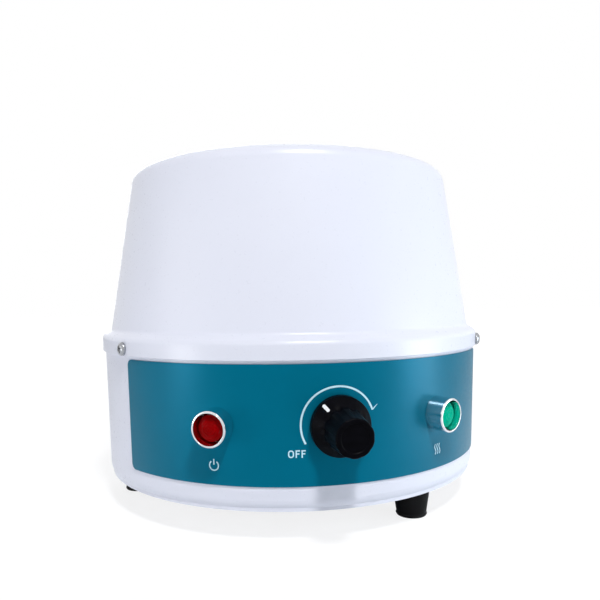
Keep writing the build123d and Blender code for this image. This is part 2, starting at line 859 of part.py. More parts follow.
with BuildPart() as knob_insert:
    disc(knob_seat, knob_insert_radius, insert_low, insert_high)
    disc(knob_seat, pot_shaft_radius, insert_low, insert_high, mode=Mode.SUBTRACT)
    set_screw_plane = Plane(
        origin=knob_seat.origin + knob_seat.z_dir * set_screw_lift,
        z_dir=knob_seat.x_dir.rotate(Axis((0, 0, 0), knob_seat.z_dir), pointer_angle + 180),
    )
    disc(set_screw_plane, m3_radius, 0, knob_insert_radius, mode=Mode.SUBTRACT)
save(knob_insert, "knob_insert")

with BuildPart() as knob_set_screw:
    disc(set_screw_plane, m3_radius, pot_shaft_radius, pot_shaft_radius + set_screw_length)
save(knob_set_screw, "knob_set_screw")

# The pointer is a painted groove along the slope of the skirt.
slope_top = Vector(knob_barrel_radius, barrel_foot)
slope_foot = Vector(knob_skirt_radius, knob_gap + knob_skirt_edge)
slope = (slope_top - slope_foot).normalized()
slope_normal = Vector(slope.Y, -slope.X)
pointer_direction = knob_seat.x_dir.rotate(Axis((0, 0, 0), knob_seat.z_dir), pointer_angle)
pointer_section = Plane(
    origin=knob_seat.origin, x_dir=pointer_direction, z_dir=pointer_direction.cross(knob_seat.z_dir)
)
with BuildPart() as knob_pointer:
    with BuildSketch(pointer_section):
        with BuildLine():
            start = slope_foot + slope * pointer_margin
            end = start + slope * pointer_length
            Polyline(
                (start - slope_normal * pointer_depth),
                (start + slope_normal * pointer_proud),
                (end + slope_normal * pointer_proud),
                (end - slope_normal * pointer_depth),
                close=True,
            )
        make_face()
    extrude(amount=pointer_width / 2, both=True)
save(knob_pointer, "knob_pointer")

with BuildPart() as control_knob:
    with BuildSketch(knob_seat.offset(barrel_foot)):
        Circle(knob_barrel_radius)
        with PolarLocations(knob_barrel_radius + flute_radius - flute_depth, knob_flutes):
            Circle(flute_radius, mode=Mode.SUBTRACT)
    extrude(amount=knob_front - barrel_foot, taper=knob_barrel_taper)
    turn(
        knob_seat,
        [
            (0, knob_gap),
            (knob_skirt_radius - knob_skirt_bevel, knob_gap),
            (knob_skirt_radius, knob_gap + knob_skirt_bevel),
            (knob_skirt_radius, knob_gap + knob_skirt_edge),
            (knob_barrel_radius, barrel_foot),
            (0, barrel_foot),
        ],
    )
    disc(knob_seat, knob_recess_radius, knob_gap, insert_low, mode=Mode.SUBTRACT)
    disc(knob_seat, knob_insert_radius, insert_low, insert_high, mode=Mode.SUBTRACT)
    disc(knob_seat, knob_dish_radius, knob_front - knob_dish_depth, knob_front, mode=Mode.SUBTRACT)
    disc(set_screw_plane, m3_radius, pot_shaft_radius, knob_skirt_radius, mode=Mode.SUBTRACT)
    add(knob_pointer.part, mode=Mode.SUBTRACT)
save(control_knob, "control_knob")

# ---- Mains inlet gland ----
gland_thread_end = gland_flange + gland_outer_thread
gland_seal_low = gland_thread_end - gland_seal_seat
gland_seal_top = gland_seal_low + gland_seal_length
gland_top = gland_flange + gland_dome_gap + gland_dome_length
with BuildPart() as gland_body:
    disc(gland_seat, gland_thread_radius, -gland_inner_thread, 0)
    hexagon(gland_seat, gland_flats, 0, gland_flange)
    disc(gland_seat, gland_thread_radius, gland_flange, gland_thread_end)
    disc(gland_seat, gland_entry_radius, -gland_inner_thread, gland_thread_end, Mode.SUBTRACT)
    disc(gland_seat, gland_seal_radius, gland_seal_low, gland_thread_end, Mode.SUBTRACT)
save(gland_body, "gland_body")

with BuildPart() as gland_seal:
    disc(gland_seat, gland_seal_radius, gland_seal_low, gland_seal_top)
    disc(gland_seat, gland_cord_radius, gland_seal_low, gland_seal_top, Mode.SUBTRACT)
save(gland_seal, "gland_seal")

with BuildPart() as gland_dome_nut:
    dome_low = gland_flange + gland_dome_gap
    hexagon(gland_seat, gland_flats, dome_low, gland_top)
    with BuildSketch(profile_plane(gland_seat)) as dome:
        with BuildLine():
            Polyline(
                (0, gland_top),
                (0, dome_low),
                (hex_reach(gland_flats) - gland_bevel, dome_low),
                (hex_reach(gland_flats), dome_low + gland_bevel),
                (hex_reach(gland_flats), gland_top - gland_dome_rise),
            )
            RadiusArc(
                (hex_reach(gland_flats), gland_top - gland_dome_rise),
                (gland_dome_mouth, gland_top),
                -gland_dome_curve,
            )
            Line((gland_dome_mouth, gland_top), (0, gland_top))
        make_face()
    revolve(dome.sketch, axis=Axis(gland_seat.origin, gland_seat.z_dir), mode=Mode.INTERSECT)
    turn(
        gland_seat,
        [
            (0, dome_low),
            (gland_thread_radius, dome_low),
            (gland_thread_radius, gland_thread_end),
            (gland_seal_radius, gland_seal_top),
            (gland_entry_radius, gland_seal_top),
            (gland_entry_radius, gland_top),
            (0, gland_top),
        ],
        Mode.SUBTRACT,
    )
save(gland_dome_nut, "gland_dome_nut")

with BuildPart() as gland_locknut:
    nut(
        inner_seat(gland_angle, rear_z, hex_reach(gland_nut_flats)),
        gland_nut_flats,
        gland_nut_height,
        gland_thread_radius,
    )
save(gland_locknut, "gland_locknut")

# ---- Fuse holder with a bayonet cap that carries the fuse link ----
with BuildPart() as fuse_holder:
    disc(fuse_seat, fuse_flange_radius, 0, fuse_flange)
    rim = edges().filter_by(GeomType.CIRCLE).sort_by(Axis(fuse_seat.origin, fuse_seat.z_dir))[-1]
    fillet(rim, fuse_flange_fillet)
    disc(fuse_seat, fuse_body_radius, -fuse_body_length, 0)
    disc(fuse_seat, fuse_bore_radius, -fuse_bore_depth, fuse_flange, mode=Mode.SUBTRACT)
save(fuse_holder, "fuse_holder")

with BuildPart() as fuse_nut:
    nut(
        inner_seat(fuse_angle, rear_z, hex_reach(fuse_nut_flats)),
        fuse_nut_flats,
        fuse_nut_height,
        fuse_body_radius,
    )
save(fuse_nut, "fuse_nut")

with BuildPart() as fuse_tabs:
    with BuildSketch(fuse_seat.offset(-fuse_body_length)):
        Rectangle(fuse_tab_width, fuse_tab_sheet)
    extrude(amount=-fuse_tab_length)
    with BuildSketch(fuse_seat.offset(-fuse_side_tab)):
        with Locations((0, fuse_body_radius)):
            Rectangle(fuse_tab_width, fuse_tab_length, align=(Align.CENTER, Align.MIN))
    extrude(amount=-fuse_tab_sheet)
    add(fuse_holder.part, mode=Mode.SUBTRACT)
save(fuse_tabs, "fuse_tabs")

cap_low = fuse_flange + fuse_cap_gap
cap_high = cap_low + fuse_cap_length
plug_low = cap_low - fuse_plug_length
plug_radius = fuse_bore_radius - fuse_plug_clearance
link_high = plug_low + fuse_link_grip
with BuildPart() as fuse_cap:
    disc(fuse_seat, fuse_cap_radius, cap_low, cap_high)
    with BuildSketch(fuse_seat.offset(cap_low)):
        with PolarLocations(fuse_cap_radius, fuse_cap_ribs):
            Circle(fuse_cap_rib_radius)
    extrude(amount=fuse_cap_rib_length)
    with BuildSketch(fuse_seat.offset(cap_high - fuse_slot_depth)):
        Rectangle(fuse_slot_length, fuse_slot_width)
    extrude(amount=fuse_slot_depth, mode=Mode.SUBTRACT)
    disc(fuse_seat, plug_radius, plug_low, cap_low)
    disc(fuse_seat, fuse_link_radius, plug_low, link_high, mode=Mode.SUBTRACT)
save(fuse_cap, "fuse_cap")

with BuildPart() as fuse_link:
    disc(fuse_seat, fuse_link_radius, link_high - fuse_link_length, link_high)
save(fuse_link, "fuse_link")

# ---- Control board and what stands on it ----
board_top = board_z + board_thickness
with BuildPart() as control_board:
    with BuildSketch(Plane.XY.offset(board_z)):
        with Locations((0, board_shift)):
            RectangleRounded(board_length, board_width, board_corner)
    extrude(amount=board_thickness)
    for seat in standoff_seats:
        disc(seat, m3_hole_radius, 0, standoff_height + board_thickness, mode=Mode.SUBTRACT)
save(control_board, "control_board")

with BuildPart() as board_standoffs:
    for seat in standoff_seats:
        nut(seat, standoff_flats, standoff_height, m3_radius)
save(board_standoffs, "board_standoffs")

with BuildPart() as board_screws:
    for seat in standoff_seats:
        top = seat.offset(standoff_height + board_thickness)
        pan_screw(top, m3_radius, board_screw_length, m3_head_radius, m3_head_height)
        bottom = facing_down(seat.offset(-pan_wall))
        pan_screw(bottom, m3_radius, board_screw_length - pan_wall, m3_head_radius, m3_head_height)
save(board_screws, "board_screws")

with BuildPart() as heat_sink:
    with BuildSketch(Plane.XY.offset(board_top)):
        with Locations((sink_x, sink_y + board_shift)):
            Rectangle(sink_length, sink_plate, align=(Align.CENTER, Align.MIN))
            with GridLocations((sink_length - sink_fin_sheet) / (sink_fins - 1), 0, sink_fins, 1):
                Rectangle(sink_fin_sheet, sink_depth, align=(Align.CENTER, Align.MIN))
    extrude(amount=sink_height)
save(heat_sink, "heat_sink")

with BuildPart() as triac:
    triac_low = board_top + triac_lift
    with BuildSketch(Plane.XY.offset(triac_low)):
        with Locations((sink_x, sink_y + board_shift)):
            Rectangle(triac_width, triac_thickness, align=(Align.CENTER, Align.MAX))
    extrude(amount=triac_height - triac_tab_height)
    with BuildSketch(Plane.XY.offset(triac_low)):
        with Locations((sink_x, sink_y + board_shift)):
            Rectangle(triac_width, triac_tab_thickness, align=(Align.CENTER, Align.MAX))
    extrude(amount=triac_height)
    with BuildSketch(Plane.XY.offset(board_top)):
        with Locations((sink_x, sink_y + board_shift - triac_thickness / 2)):
            with GridLocations(triac_leg_pitch, 0, 3, 1):
                Rectangle(triac_leg, triac_leg)
    extrude(amount=triac_lift)
save(triac, "triac")

with BuildPart() as filter_capacitor:
    with BuildSketch(Plane.XY.offset(board_top)):
        with Locations((capacitor_x, capacitor_y + board_shift)):
            Rectangle(capacitor_length, capacitor_width)
    extrude(amount=capacitor_height)
    fillet(edges().group_by(Axis.Z)[-1], capacitor_edge)
save(filter_capacitor, "filter_capacitor")

with BuildPart() as choke_coil:
    with BuildSketch(Plane.XY.offset(board_top)):
        with Locations((choke_x, choke_y + board_shift)):
            Circle(choke_radius)
            Circle(choke_bore_radius, mode=Mode.SUBTRACT)
    extrude(amount=choke_thickness)
    fillet(edges().group_by(Axis.Z)[-1], choke_edge)
save(choke_coil, "choke_coil")

with BuildPart() as board_connector:
    connector_length = connector_poles * connector_pitch
    with BuildSketch(Plane.XY.offset(board_top)):
        with Locations((connector_x, connector_y + board_shift)):
            Rectangle(connector_length, connector_depth)
    extrude(amount=connector_height)
    with BuildSketch(Plane.XY.offset(board_top + connector_height)):
        with Locations((connector_x, connector_y + board_shift)):
            with GridLocations(connector_pitch, 0, connector_poles, 1):
                Circle(connector_hole_radius)
    extrude(amount=-connector_hole_depth, mode=Mode.SUBTRACT)
save(board_connector, "board_connector")

with BuildPart() as earth_nut:
    nut(earth_seat.offset(earth_nut_lift), m4_nut_flats, m4_nut_height, m4_radius)
save(earth_nut, "earth_nut")
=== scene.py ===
import json
from math import acos, ceil, cos, degrees, pi, radians, sin, sqrt, tan

import bmesh
import bpy
from mathutils import Matrix, Vector


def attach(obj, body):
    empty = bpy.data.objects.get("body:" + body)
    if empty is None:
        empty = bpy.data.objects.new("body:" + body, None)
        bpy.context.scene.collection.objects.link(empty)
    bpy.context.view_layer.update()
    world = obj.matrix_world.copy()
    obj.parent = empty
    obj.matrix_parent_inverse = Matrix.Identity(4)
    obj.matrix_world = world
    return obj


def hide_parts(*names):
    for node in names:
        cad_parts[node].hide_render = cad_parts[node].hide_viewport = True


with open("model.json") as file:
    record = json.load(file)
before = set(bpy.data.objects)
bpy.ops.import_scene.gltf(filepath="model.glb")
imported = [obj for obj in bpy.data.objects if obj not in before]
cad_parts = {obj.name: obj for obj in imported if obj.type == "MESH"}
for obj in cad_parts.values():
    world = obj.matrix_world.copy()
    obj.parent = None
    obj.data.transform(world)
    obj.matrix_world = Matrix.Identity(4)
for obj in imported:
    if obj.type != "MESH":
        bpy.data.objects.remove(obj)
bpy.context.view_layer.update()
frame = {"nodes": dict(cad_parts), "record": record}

MM = 0.001

# ---------------------------------------------------------------- shared sizes, in mm and degrees
# As in part.py: the drafted wall of the pan, the panel on it and the bowl of the well.
PAN_RIM = 79.8
PAN_RIM_RADIUS = 100.2037
DRAFT = 2.08
PANEL_THICKNESS = 0.5
CONTROLS_Z = 49.4
BOWL_CENTRE = 160.3


def pan_radius(z):
    return PAN_RIM_RADIUS - (PAN_RIM - z) * tan(radians(DRAFT))


def outward(azimuth):
    return Vector((sin(radians(azimuth)), -cos(radians(azimuth)), 0.0))


def placed(origin, x_axis, z_axis):
    """Matrix with these axes and origin, all in mm."""
    x_axis = x_axis.normalized()
    z_axis = z_axis.normalized()
    y_axis = z_axis.cross(x_axis)
    matrix = Matrix((x_axis, y_axis, z_axis)).transposed().to_4x4()
    matrix.translation = origin
    return matrix


def wall_seat(azimuth, z, depth):
    """Place on the pan's wall, lifted by the depth, with z square to the wall."""
    slope = radians(DRAFT)
    normal = outward(azimuth) * cos(slope) - Vector((0, 0, sin(slope)))
    point = outward(azimuth) * pan_radius(z) + Vector((0, 0, z)) + normal * depth
    return placed(point, outward(azimuth + 90), normal)


# ---------------------------------------------------------------- mesh helpers
SHARP = 38  # edges that bend by more degrees than this stay sharp


def rounded(points, radii, steps=6, closed=True):
    """The outline with each corner turned into an arc of its own radius."""
    result = []
    count = len(points)
    for i, (point, radius) in enumerate(zip(points, radii)):
        here = Vector(point)
        if radius <= 0 or (not closed and i in (0, count - 1)):
            result.append(here)
            continue
        back = (Vector(points[i - 1]) - here).normalized()
        ahead = (Vector(points[(i + 1) % count]) - here).normalized()
        half = acos(max(-1, min(1, back.dot(ahead)))) / 2
        reach = radius / tan(half)
        centre = here + (back + ahead).normalized() * radius / sin(half)
        start = here + back * reach - centre
        end = here + ahead * reach - centre
        side = 1 if start.x * end.y - start.y * end.x > 0 else -1
        sweep = side * (pi - 2 * half)
        for k in range(steps + 1):
            c, s = cos(sweep * k / steps), sin(sweep * k / steps)
            result.append(centre + Vector((start.x * c - start.y * s, start.x * s + start.y * c)))
    return result


def smooth(mesh, sharp):
    for face in mesh.polygons:
        face.use_smooth = True
    mesh.set_sharp_from_angle(angle=radians(sharp))


def weight_normals(obj):
    modifier = obj.modifiers.new("weighted", "WEIGHTED_NORMAL")
    modifier.keep_sharp = True


def finished(name, bm, sharp=SHARP, seat=None, weighted=True):
    """Object from a bmesh whose points are in mm: closed, smooth-shaded, in metres."""
    bmesh.ops.remove_doubles(bm, verts=bm.verts, dist=1e-5)
    bmesh.ops.recalc_face_normals(bm, faces=bm.faces)
    if seat is not None:
        bm.transform(seat)
    bm.transform(Matrix.Scale(MM, 4))
    mesh = bpy.data.meshes.new(name)
    bm.to_mesh(mesh)
    bm.free()
    smooth(mesh, sharp)
    obj = bpy.data.objects.new(name, mesh)
    bpy.context.scene.collection.objects.link(obj)
    if weighted:
        weight_normals(obj)
    return obj


def bridge(bm, ring, other):
    """Faces between two rings of a turned surface, where a ring may be one point on the axis."""
    turns = max(len(ring), len(other))
    if turns == 1:
        return
    for k in range(turns):
        n = (k + 1) % turns
        if len(ring) == 1:
            bm.faces.new((ring[0], other[k], other[n]))
        elif len(other) == 1:
            bm.faces.new((ring[k], other[0], ring[n]))
        else:
            bm.faces.new((ring[k], other[k], other[n], ring[n]))


def band(bm, ring, other):
    """Faces between two rings that have as many points."""
    count = len(ring)
    for k in range(count):
        n = (k + 1) % count
        bm.faces.new((ring[k], ring[n], other[n], other[k]))


def turned(bm, outline, turns, seat=None):
    """Adds the closed (radius, height) outline, turned about z, to a bmesh."""
    rings = []
    for radius, height in outline:
        if radius < 1e-6:
            rings.append([bm.verts.new((0, 0, height))])
            continue
        angles = [2 * pi * k / turns for k in range(turns)]
        rings.append([bm.verts.new((radius * cos(t), radius * sin(t), height)) for t in angles])
    made = [v for ring in rings for v in ring]
    for i, ring in enumerate(rings):
        bridge(bm, ring, rings[(i + 1) % len(rings)])
    if seat is not None:
        bmesh.ops.transform(bm, matrix=seat, verts=made)


def lathe(name, outline, seat, turns, sharp=SHARP):
    bm = bmesh.new()
    turned(bm, outline, turns)
    return finished(name, bm, sharp, seat)


def tube(bm, path, radius, sides):
    """Adds a round tube along the points to a bmesh, with capped ends."""
    side = None
    rings = []
    for i, point in enumerate(path):
        before = path[max(i - 1, 0)]
        after = path[min(i + 1, len(path) - 1)]
        along = (after - before).normalized()
        if side is None:
            side = along.orthogonal().normalized()
        side = (side - along * side.dot(along)).normalized()
        other = along.cross(side)
        ring = []
        for k in range(sides):
            t = 2 * pi * k / sides
            ring.append(bm.verts.new(point + side * (radius * cos(t)) + other * (radius * sin(t))))
        rings.append(ring)
    for ring, following in zip(rings, rings[1:]):
        band(bm, ring, following)
    bm.faces.new(list(reversed(rings[0])))
    bm.faces.new(rings[-1])


def carve(obj, tool):
    """Cuts the tool's shape out of the object and removes the tool."""
    modifier = obj.modifiers.new("cut", "BOOLEAN")
    modifier.operation = "DIFFERENCE"
    modifier.solver = "EXACT"
    modifier.object = tool
    bpy.context.view_layer.update()
    shape = obj.evaluated_get(bpy.context.evaluated_depsgraph_get())
    mesh = bpy.data.meshes.new_from_object(shape)
    obj.modifiers.clear()
    old = obj.data
    obj.data = mesh
    mesh.name = old.name
    bpy.data.meshes.remove(old)
    bpy.data.objects.remove(tool)
    bm = bmesh.new()
    bm.from_mesh(mesh)
    bmesh.ops.remove_doubles(bm, verts=bm.verts, dist=1e-7)
    bmesh.ops.dissolve_degenerate(bm, edges=bm.edges, dist=1e-7)
    bm.to_mesh(mesh)
    bm.free()
    smooth(mesh, SHARP)
    weight_normals(obj)


def block(bm, size, centre, seat):
    made = bmesh.ops.create_cube(bm, size=1.0)["verts"]
    bmesh.ops.scale(bm, vec=Vector(size), verts=made)
    bmesh.ops.translate(bm, vec=Vector(centre), verts=made)
    bmesh.ops.transform(bm, matrix=seat, verts=made)


# ---------------------------------------------------------------- materials
class Finish:
    """A principled shader with a small tree of textures in front of it."""

    def __init__(self, name, rough, metal=0.0, **sockets):
        self.material = bpy.data.materials.new(name)
        self.material.use_nodes = True
        self.tree = self.material.node_tree
        self.shader = self.tree.nodes["Principled BSDF"]
        self.coords = self.node("ShaderNodeTexCoord").outputs["Object"]
        self.set("Roughness", rough)
        self.set("Metallic", metal)
        for socket, value in sockets.items():
            self.set(socket.replace("_", " "), value)

    def set(self, socket, value):
        self.shader.inputs[socket].default_value = value

    def node(self, kind, **settings):
        made = self.tree.nodes.new(kind)
        for key, value in settings.items():
            setattr(made, key, value)
        return made

    def link(self, source, target):
        self.tree.links.new(source, target)

    def noise(self, scale, detail, stretch=None):
        texture = self.node("ShaderNodeTexNoise")
        texture.inputs["Scale"].default_value = scale
        texture.inputs["Detail"].default_value = detail
        texture.inputs["Roughness"].default_value = 0.5
        source = self.coords
        if stretch is not None:
            mapping = self.node("ShaderNodeMapping")
            mapping.inputs["Scale"].default_value = stretch
            self.link(source, mapping.inputs["Vector"])
            source = mapping.outputs["Vector"]
        self.link(source, texture.inputs["Vector"])
        return texture.outputs["Fac"]

    def cells(self, scale):
        texture = self.node("ShaderNodeTexVoronoi")
        texture.inputs["Scale"].default_value = scale
        self.link(self.coords, texture.inputs["Vector"])
        return texture.outputs["Distance"]

    def span(self, source, low, high, start, end):
        """Maps low..high of the source to start..end, clamped."""
        made = self.node("ShaderNodeMapRange")
        made.inputs["From Min"].default_value = low
        made.inputs["From Max"].default_value = high
        made.inputs["To Min"].default_value = start
        made.inputs["To Max"].default_value = end
        self.link(source, made.inputs["Value"])
        return made.outputs["Result"]

    def math(self, operation, a, b=None):
        made = self.node("ShaderNodeMath", operation=operation)
        for index, value in enumerate((a, b)):
            if value is None:
                continue
            if isinstance(value, (int, float)):
                made.inputs[index].default_value = value
            else:
                self.link(value, made.inputs[index])
        return made.outputs["Value"]

    def blend(self, factor, a, b):
        made = self.node("ShaderNodeMix", data_type="RGBA")
        self.link(factor, made.inputs["Factor"])
        for socket, colour in ((made.inputs[6], a), (made.inputs[7], b)):
            socket.default_value = (*colour, 1.0)
        return made.outputs[2]

    def shades(self, source, low, high):
        """Colour between two shades, by a source that runs from 0 to 1."""
        self.link(self.blend(source, low, high), self.shader.inputs["Base Color"])

    def clouds(self, scale, detail, low, high, between=(0.3, 0.7), stretch=None):
        """Colour that drifts between two shades."""
        self.shades(self.span(self.noise(scale, detail, stretch), *between, 0, 1), low, high)

    def gloss(self, scale, detail, smoothest, roughest, between=(0.3, 0.7)):
        """Roughness that drifts between two values."""
        drift = self.span(self.noise(scale, detail), *between, smoothest, roughest)
        self.link(drift, self.shader.inputs["Roughness"])

    def bump(self, height, distance, under=None):
        """Relief of this depth in mm, on top of another bump where one is given."""
        made = self.node("ShaderNodeBump")
        made.inputs["Distance"].default_value = distance * MM
        made.inputs["Strength"].default_value = 1.0
        self.link(height, made.inputs["Height"])
        if under is not None:
            self.link(under, made.inputs["Normal"])
        self.link(made.outputs["Normal"], self.shader.inputs["Normal"])
        return made.outputs["Normal"]

    def round_coordinates(self):
        """Turn about the case's axis, and the angle from straight down at the bowl's centre."""
        split = self.node("ShaderNodeSeparateXYZ")
        self.link(self.coords, split.inputs["Vector"])
        x, y, z = split.outputs["X"], split.outputs["Y"], split.outputs["Z"]
        turn = self.math("ARCTAN2", y, x)
        square = self.math("ADD", self.math("MULTIPLY", x, x), self.math("MULTIPLY", y, y))
        drop = self.math("SUBTRACT", BOWL_CENTRE * MM, z)
        return turn, self.math("ARCTAN2", self.math("SQRT", square), drop)


finishes = {}


def speckled(slot, low, high, rough, metal, cloud, grain, depth, swing=0.06, **sockets):
    """Colour clouds between two shades, uneven gloss and a fine surface grain."""
    f = Finish(slot, rough, metal, **sockets)
    f.clouds(cloud, 4, low, high)
    f.gloss(cloud * 4, 3, rough - swing, rough + swing)
    f.bump(f.noise(grain, 2), depth)
    finishes[slot] = f
    return f


# Stove enamel: slight orange peel under a finer grain, a soft gloss.
enamel = Finish("white_enamel", 0.3, Specular_IOR_Level=0.4)
enamel.clouds(14, 1, (0.735, 0.755, 0.855), (0.75, 0.77, 0.865), (0.25, 0.75))
enamel.gloss(900, 3, 0.27, 0.33)
peel = enamel.bump(enamel.noise(420, 1), 0.010)
enamel.bump(enamel.noise(1900, 1), 0.004, under=peel)
finishes["white_enamel"] = enamel

# Screen print on sheet metal: satin, with the faint grain of the mesh.
SCREEN_MESH, SCREEN_RELIEF = 2600, 0.004
printed = Finish("panel_print", 0.34, Specular_IOR_Level=0.5)
printed.set("Specular Tint", (0.02, 0.55, 0.95, 1.0))
printed.clouds(26, 4, (0.000, 0.118, 0.190), (0.000, 0.130, 0.212))
printed.gloss(700, 3, 0.31, 0.37)
print_peel = printed.bump(printed.noise(500, 1), 0.008)
printed.bump(printed.cells(SCREEN_MESH), SCREEN_RELIEF, under=print_peel)
finishes["panel_print"] = printed

# Pale blue ink of the legends, printed through the same mesh.
legend = Finish("legend_ink", 0.4, Specular_IOR_Level=0.3)
legend.clouds(300, 3, (0.54, 0.82, 0.93), (0.62, 0.88, 0.97))
legend.gloss(900, 2, 0.34, 0.46)
legend.bump(legend.cells(SCREEN_MESH), SCREEN_RELIEF)

# Polished chrome with faint turning marks.
chrome = Finish("bezel_chrome", 0.07, 1.0)
chrome.clouds(90, 3, (0.74, 0.75, 0.77), (0.82, 0.83, 0.85))
chrome.gloss(300, 4, 0.04, 0.12, (0.35, 0.75))
chrome.bump(chrome.noise(700, 2, (1, 1, 8)), 0.003)
finishes["bezel_chrome"] = chrome

# Coloured lenses: deep, hardly see-through plastic.
for slot, low, high in (
    ("red_lens", (0.20, 0.000, 0.000), (0.30, 0.000, 0.001)),
    ("green_lens", (0.0, 0.36, 0.22), (0.0, 0.48, 0.30)),
):
    lens = Finish(slot, 0.1, Transmission_Weight=0.1, IOR=1.3, Specular_IOR_Level=0.02)
    lens.clouds(260, 3, low, high)
    lens.gloss(500, 2, 0.07, 0.16)
    lens.bump(lens.noise(700, 1), 0.01)
    finishes[slot] = lens

glass = Finish("bulb_glass", 0.05, Transmission_Weight=0.9, IOR=1.5)
glass.clouds(400, 2, (0.86, 0.87, 0.84), (0.93, 0.93, 0.91))
glass.bump(glass.noise(500, 1), 0.01)
finishes["bulb_glass"] = glass

# Pressed black resin: near-black, with faint flow marks.
bakelite = Finish("black_bakelite", 0.4, Specular_IOR_Level=0.03)
bakelite.clouds(
    140, 5, (0.0008, 0.0008, 0.0016), (0.0018, 0.0018, 0.0034), (0.35, 0.7), stretch=(1, 1, 3)
)
bakelite.gloss(900, 4, 0.34, 0.44, (0.35, 0.75))
bakelite.bump(bakelite.noise(900, 1), 0.0015)
finishes["black_bakelite"] = bakelite

# Plain finishes: shades, roughness, metal, scale of the clouds, scale and depth of the grain.
speckled("zinc_steel", (0.34, 0.35, 0.37), (0.48, 0.49, 0.51), 0.2, 1.0, 120, 1600, 0.01)
speckled("white_fill", (0.80, 0.84, 0.86), (0.90, 0.93, 0.94), 0.4, 0.0, 500, 1500, 0.02)
speckled("brass", (0.62, 0.44, 0.17), (0.76, 0.57, 0.27), 0.3, 1.0, 150, 1500, 0.01)
speckled(
    "black_rubber", (0.002, 0.002, 0.0023), (0.005, 0.005, 0.0055), 0.55, 0.0, 90, 2600, 0.04,
    Specular_IOR_Level=0.1,
)
speckled("black_nylon", (0.010, 0.010, 0.011), (0.022, 0.022, 0.023), 0.42, 0.0, 70, 1400, 0.03)
speckled("raw_aluminium", (0.62, 0.63, 0.65), (0.75, 0.76, 0.78), 0.38, 1.0, 40, 1500, 0.01)
speckled("white_ceramic", (0.78, 0.75, 0.69), (0.86, 0.84, 0.79), 0.6, 0.0, 60, 1100, 0.03)
speckled("board_green", (0.02, 0.17, 0.06), (0.04, 0.25, 0.10), 0.4, 0.0, 60, 900, 0.02)
speckled("connector_green", (0.05, 0.32, 0.14), (0.08, 0.40, 0.19), 0.45, 0.0, 60, 1200, 0.02)
speckled("component_black", (0.014, 0.014, 0.014), (0.028, 0.028, 0.028), 0.35, 0.0, 90, 1300, 0.02)
speckled("capacitor_yellow", (0.68, 0.44, 0.03), (0.80, 0.55, 0.06), 0.35, 0.0, 60, 1200, 0.02)
speckled("glass_wool", (0.66, 0.58, 0.34), (0.84, 0.77, 0.54), 0.95, 0.0, 120, 700, 0.5, 0.03)

# Enamelled wire of the choke: the wave stands for its turns.
coil = speckled("choke_copper", (0.55, 0.20, 0.07), (0.72, 0.32, 0.13), 0.3, 1.0, 90, 1500, 0.01)
turns_of_wire = coil.node("ShaderNodeTexWave", bands_direction="X")
turns_of_wire.inputs["Scale"].default_value = 320
coil.link(coil.coords, turns_of_wire.inputs["Vector"])
coil.bump(turns_of_wire.outputs["Fac"], 0.3)

# Woven glass cloth: two sets of rounded threads that pass over and under each other; the colour is painted
# darker where the threads dip (painted shade in the weave's hollows), with a random fuzz of tone on top.
WARP_PER_RADIAN, WEFT_PER_RADIAN = 130.0, 110.0
cloth = Finish("glass_cloth", 0.9, Specular_IOR_Level=0.25, Sheen_Weight=0.15)
cloth_turn, cloth_fall = cloth.round_coordinates()
warp = cloth.math("MULTIPLY", cloth_turn, WARP_PER_RADIAN)
weft = cloth.math("MULTIPLY", cloth_fall, WEFT_PER_RADIAN)
crossings = cloth.math("MULTIPLY", cloth.math("SINE", warp), cloth.math("SINE", weft))
warp_ribs = cloth.math("COSINE", cloth.math("MULTIPLY", warp, 2.0))
weft_ribs = cloth.math("COSINE", cloth.math("MULTIPLY", weft, 2.0))
ribs = cloth.math("MULTIPLY", cloth.math("ADD", warp_ribs, weft_ribs), 0.35)
fuzz = cloth.math("MULTIPLY", cloth.noise(1500, 4), 0.9)
weave_relief_and_shade = cloth.math("ADD", cloth.math("SUBTRACT", crossings, ribs), fuzz)
# Painted shade: the relief that drives the bump also darkens the colour in the weave's hollows; the fuzz adds
# random tone.
cloth.shades(cloth.span(weave_relief_and_shade, -1.0, 1.9, 0, 1), (0.50, 0.47, 0.40), (0.86, 0.85, 0.80))
cloth.bump(weave_relief_and_shade, 0.35)
finishes["glass_cloth"] = cloth

# Braided sleeve on the heating cord: crossed diagonal strands, with the colour painted darker where the
# strands dip (painted shade) and a random fuzz of tone.
BRAID_ROUND, BRAID_DOWN = 190.0, 170.0
sleeve = Finish("cord_sleeve", 0.85, Specular_IOR_Level=0.25, Sheen_Weight=0.15)
sleeve_turn, sleeve_fall = sleeve.round_coordinates()
strand_round = sleeve.math("MULTIPLY", sleeve_turn, BRAID_ROUND)
strand_down = sleeve.math("MULTIPLY", sleeve_fall, BRAID_DOWN)
one_way = sleeve.math("SINE", sleeve.math("ADD", strand_round, strand_down))
other_way = sleeve.math("SINE", sleeve.math("SUBTRACT", strand_round, strand_down))
braid = sleeve.math("MULTIPLY", one_way, other_way)
braid_relief_and_shade = sleeve.math("ADD", braid, sleeve.math("MULTIPLY", sleeve.noise(1800, 3), 0.6))
# Painted shade: the braid's relief darkens the colour where the strands dip; the noise adds random tone.
sleeve.shades(sleeve.span(braid_relief_and_shade, -0.7, 1.2, 0, 1), (0.52, 0.47, 0.37), (0.88, 0.85, 0.77))
sleeve.bump(braid_relief_and_shade, 0.18)
finishes["cord_sleeve"] = sleeve

# The CAD nodes take the finish of their slot.
slot_of = {part["node"]: part["material_slot"] for part in frame["record"]["subparts"]}
for node_name, node_object in frame["nodes"].items():
    material = finishes[slot_of[node_name]].material
    for index in range(len(node_object.material_slots)):
        node_object.material_slots[index].material = material


def dress(obj, slot, body, *nodes, material=None):
    """Finish, slot, body and the CAD nodes that the piece stands for."""
    obj.data.materials.clear()
    obj.data.materials.append(material or finishes[slot].material)
    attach(obj, body)
    if nodes:
        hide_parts(*nodes)


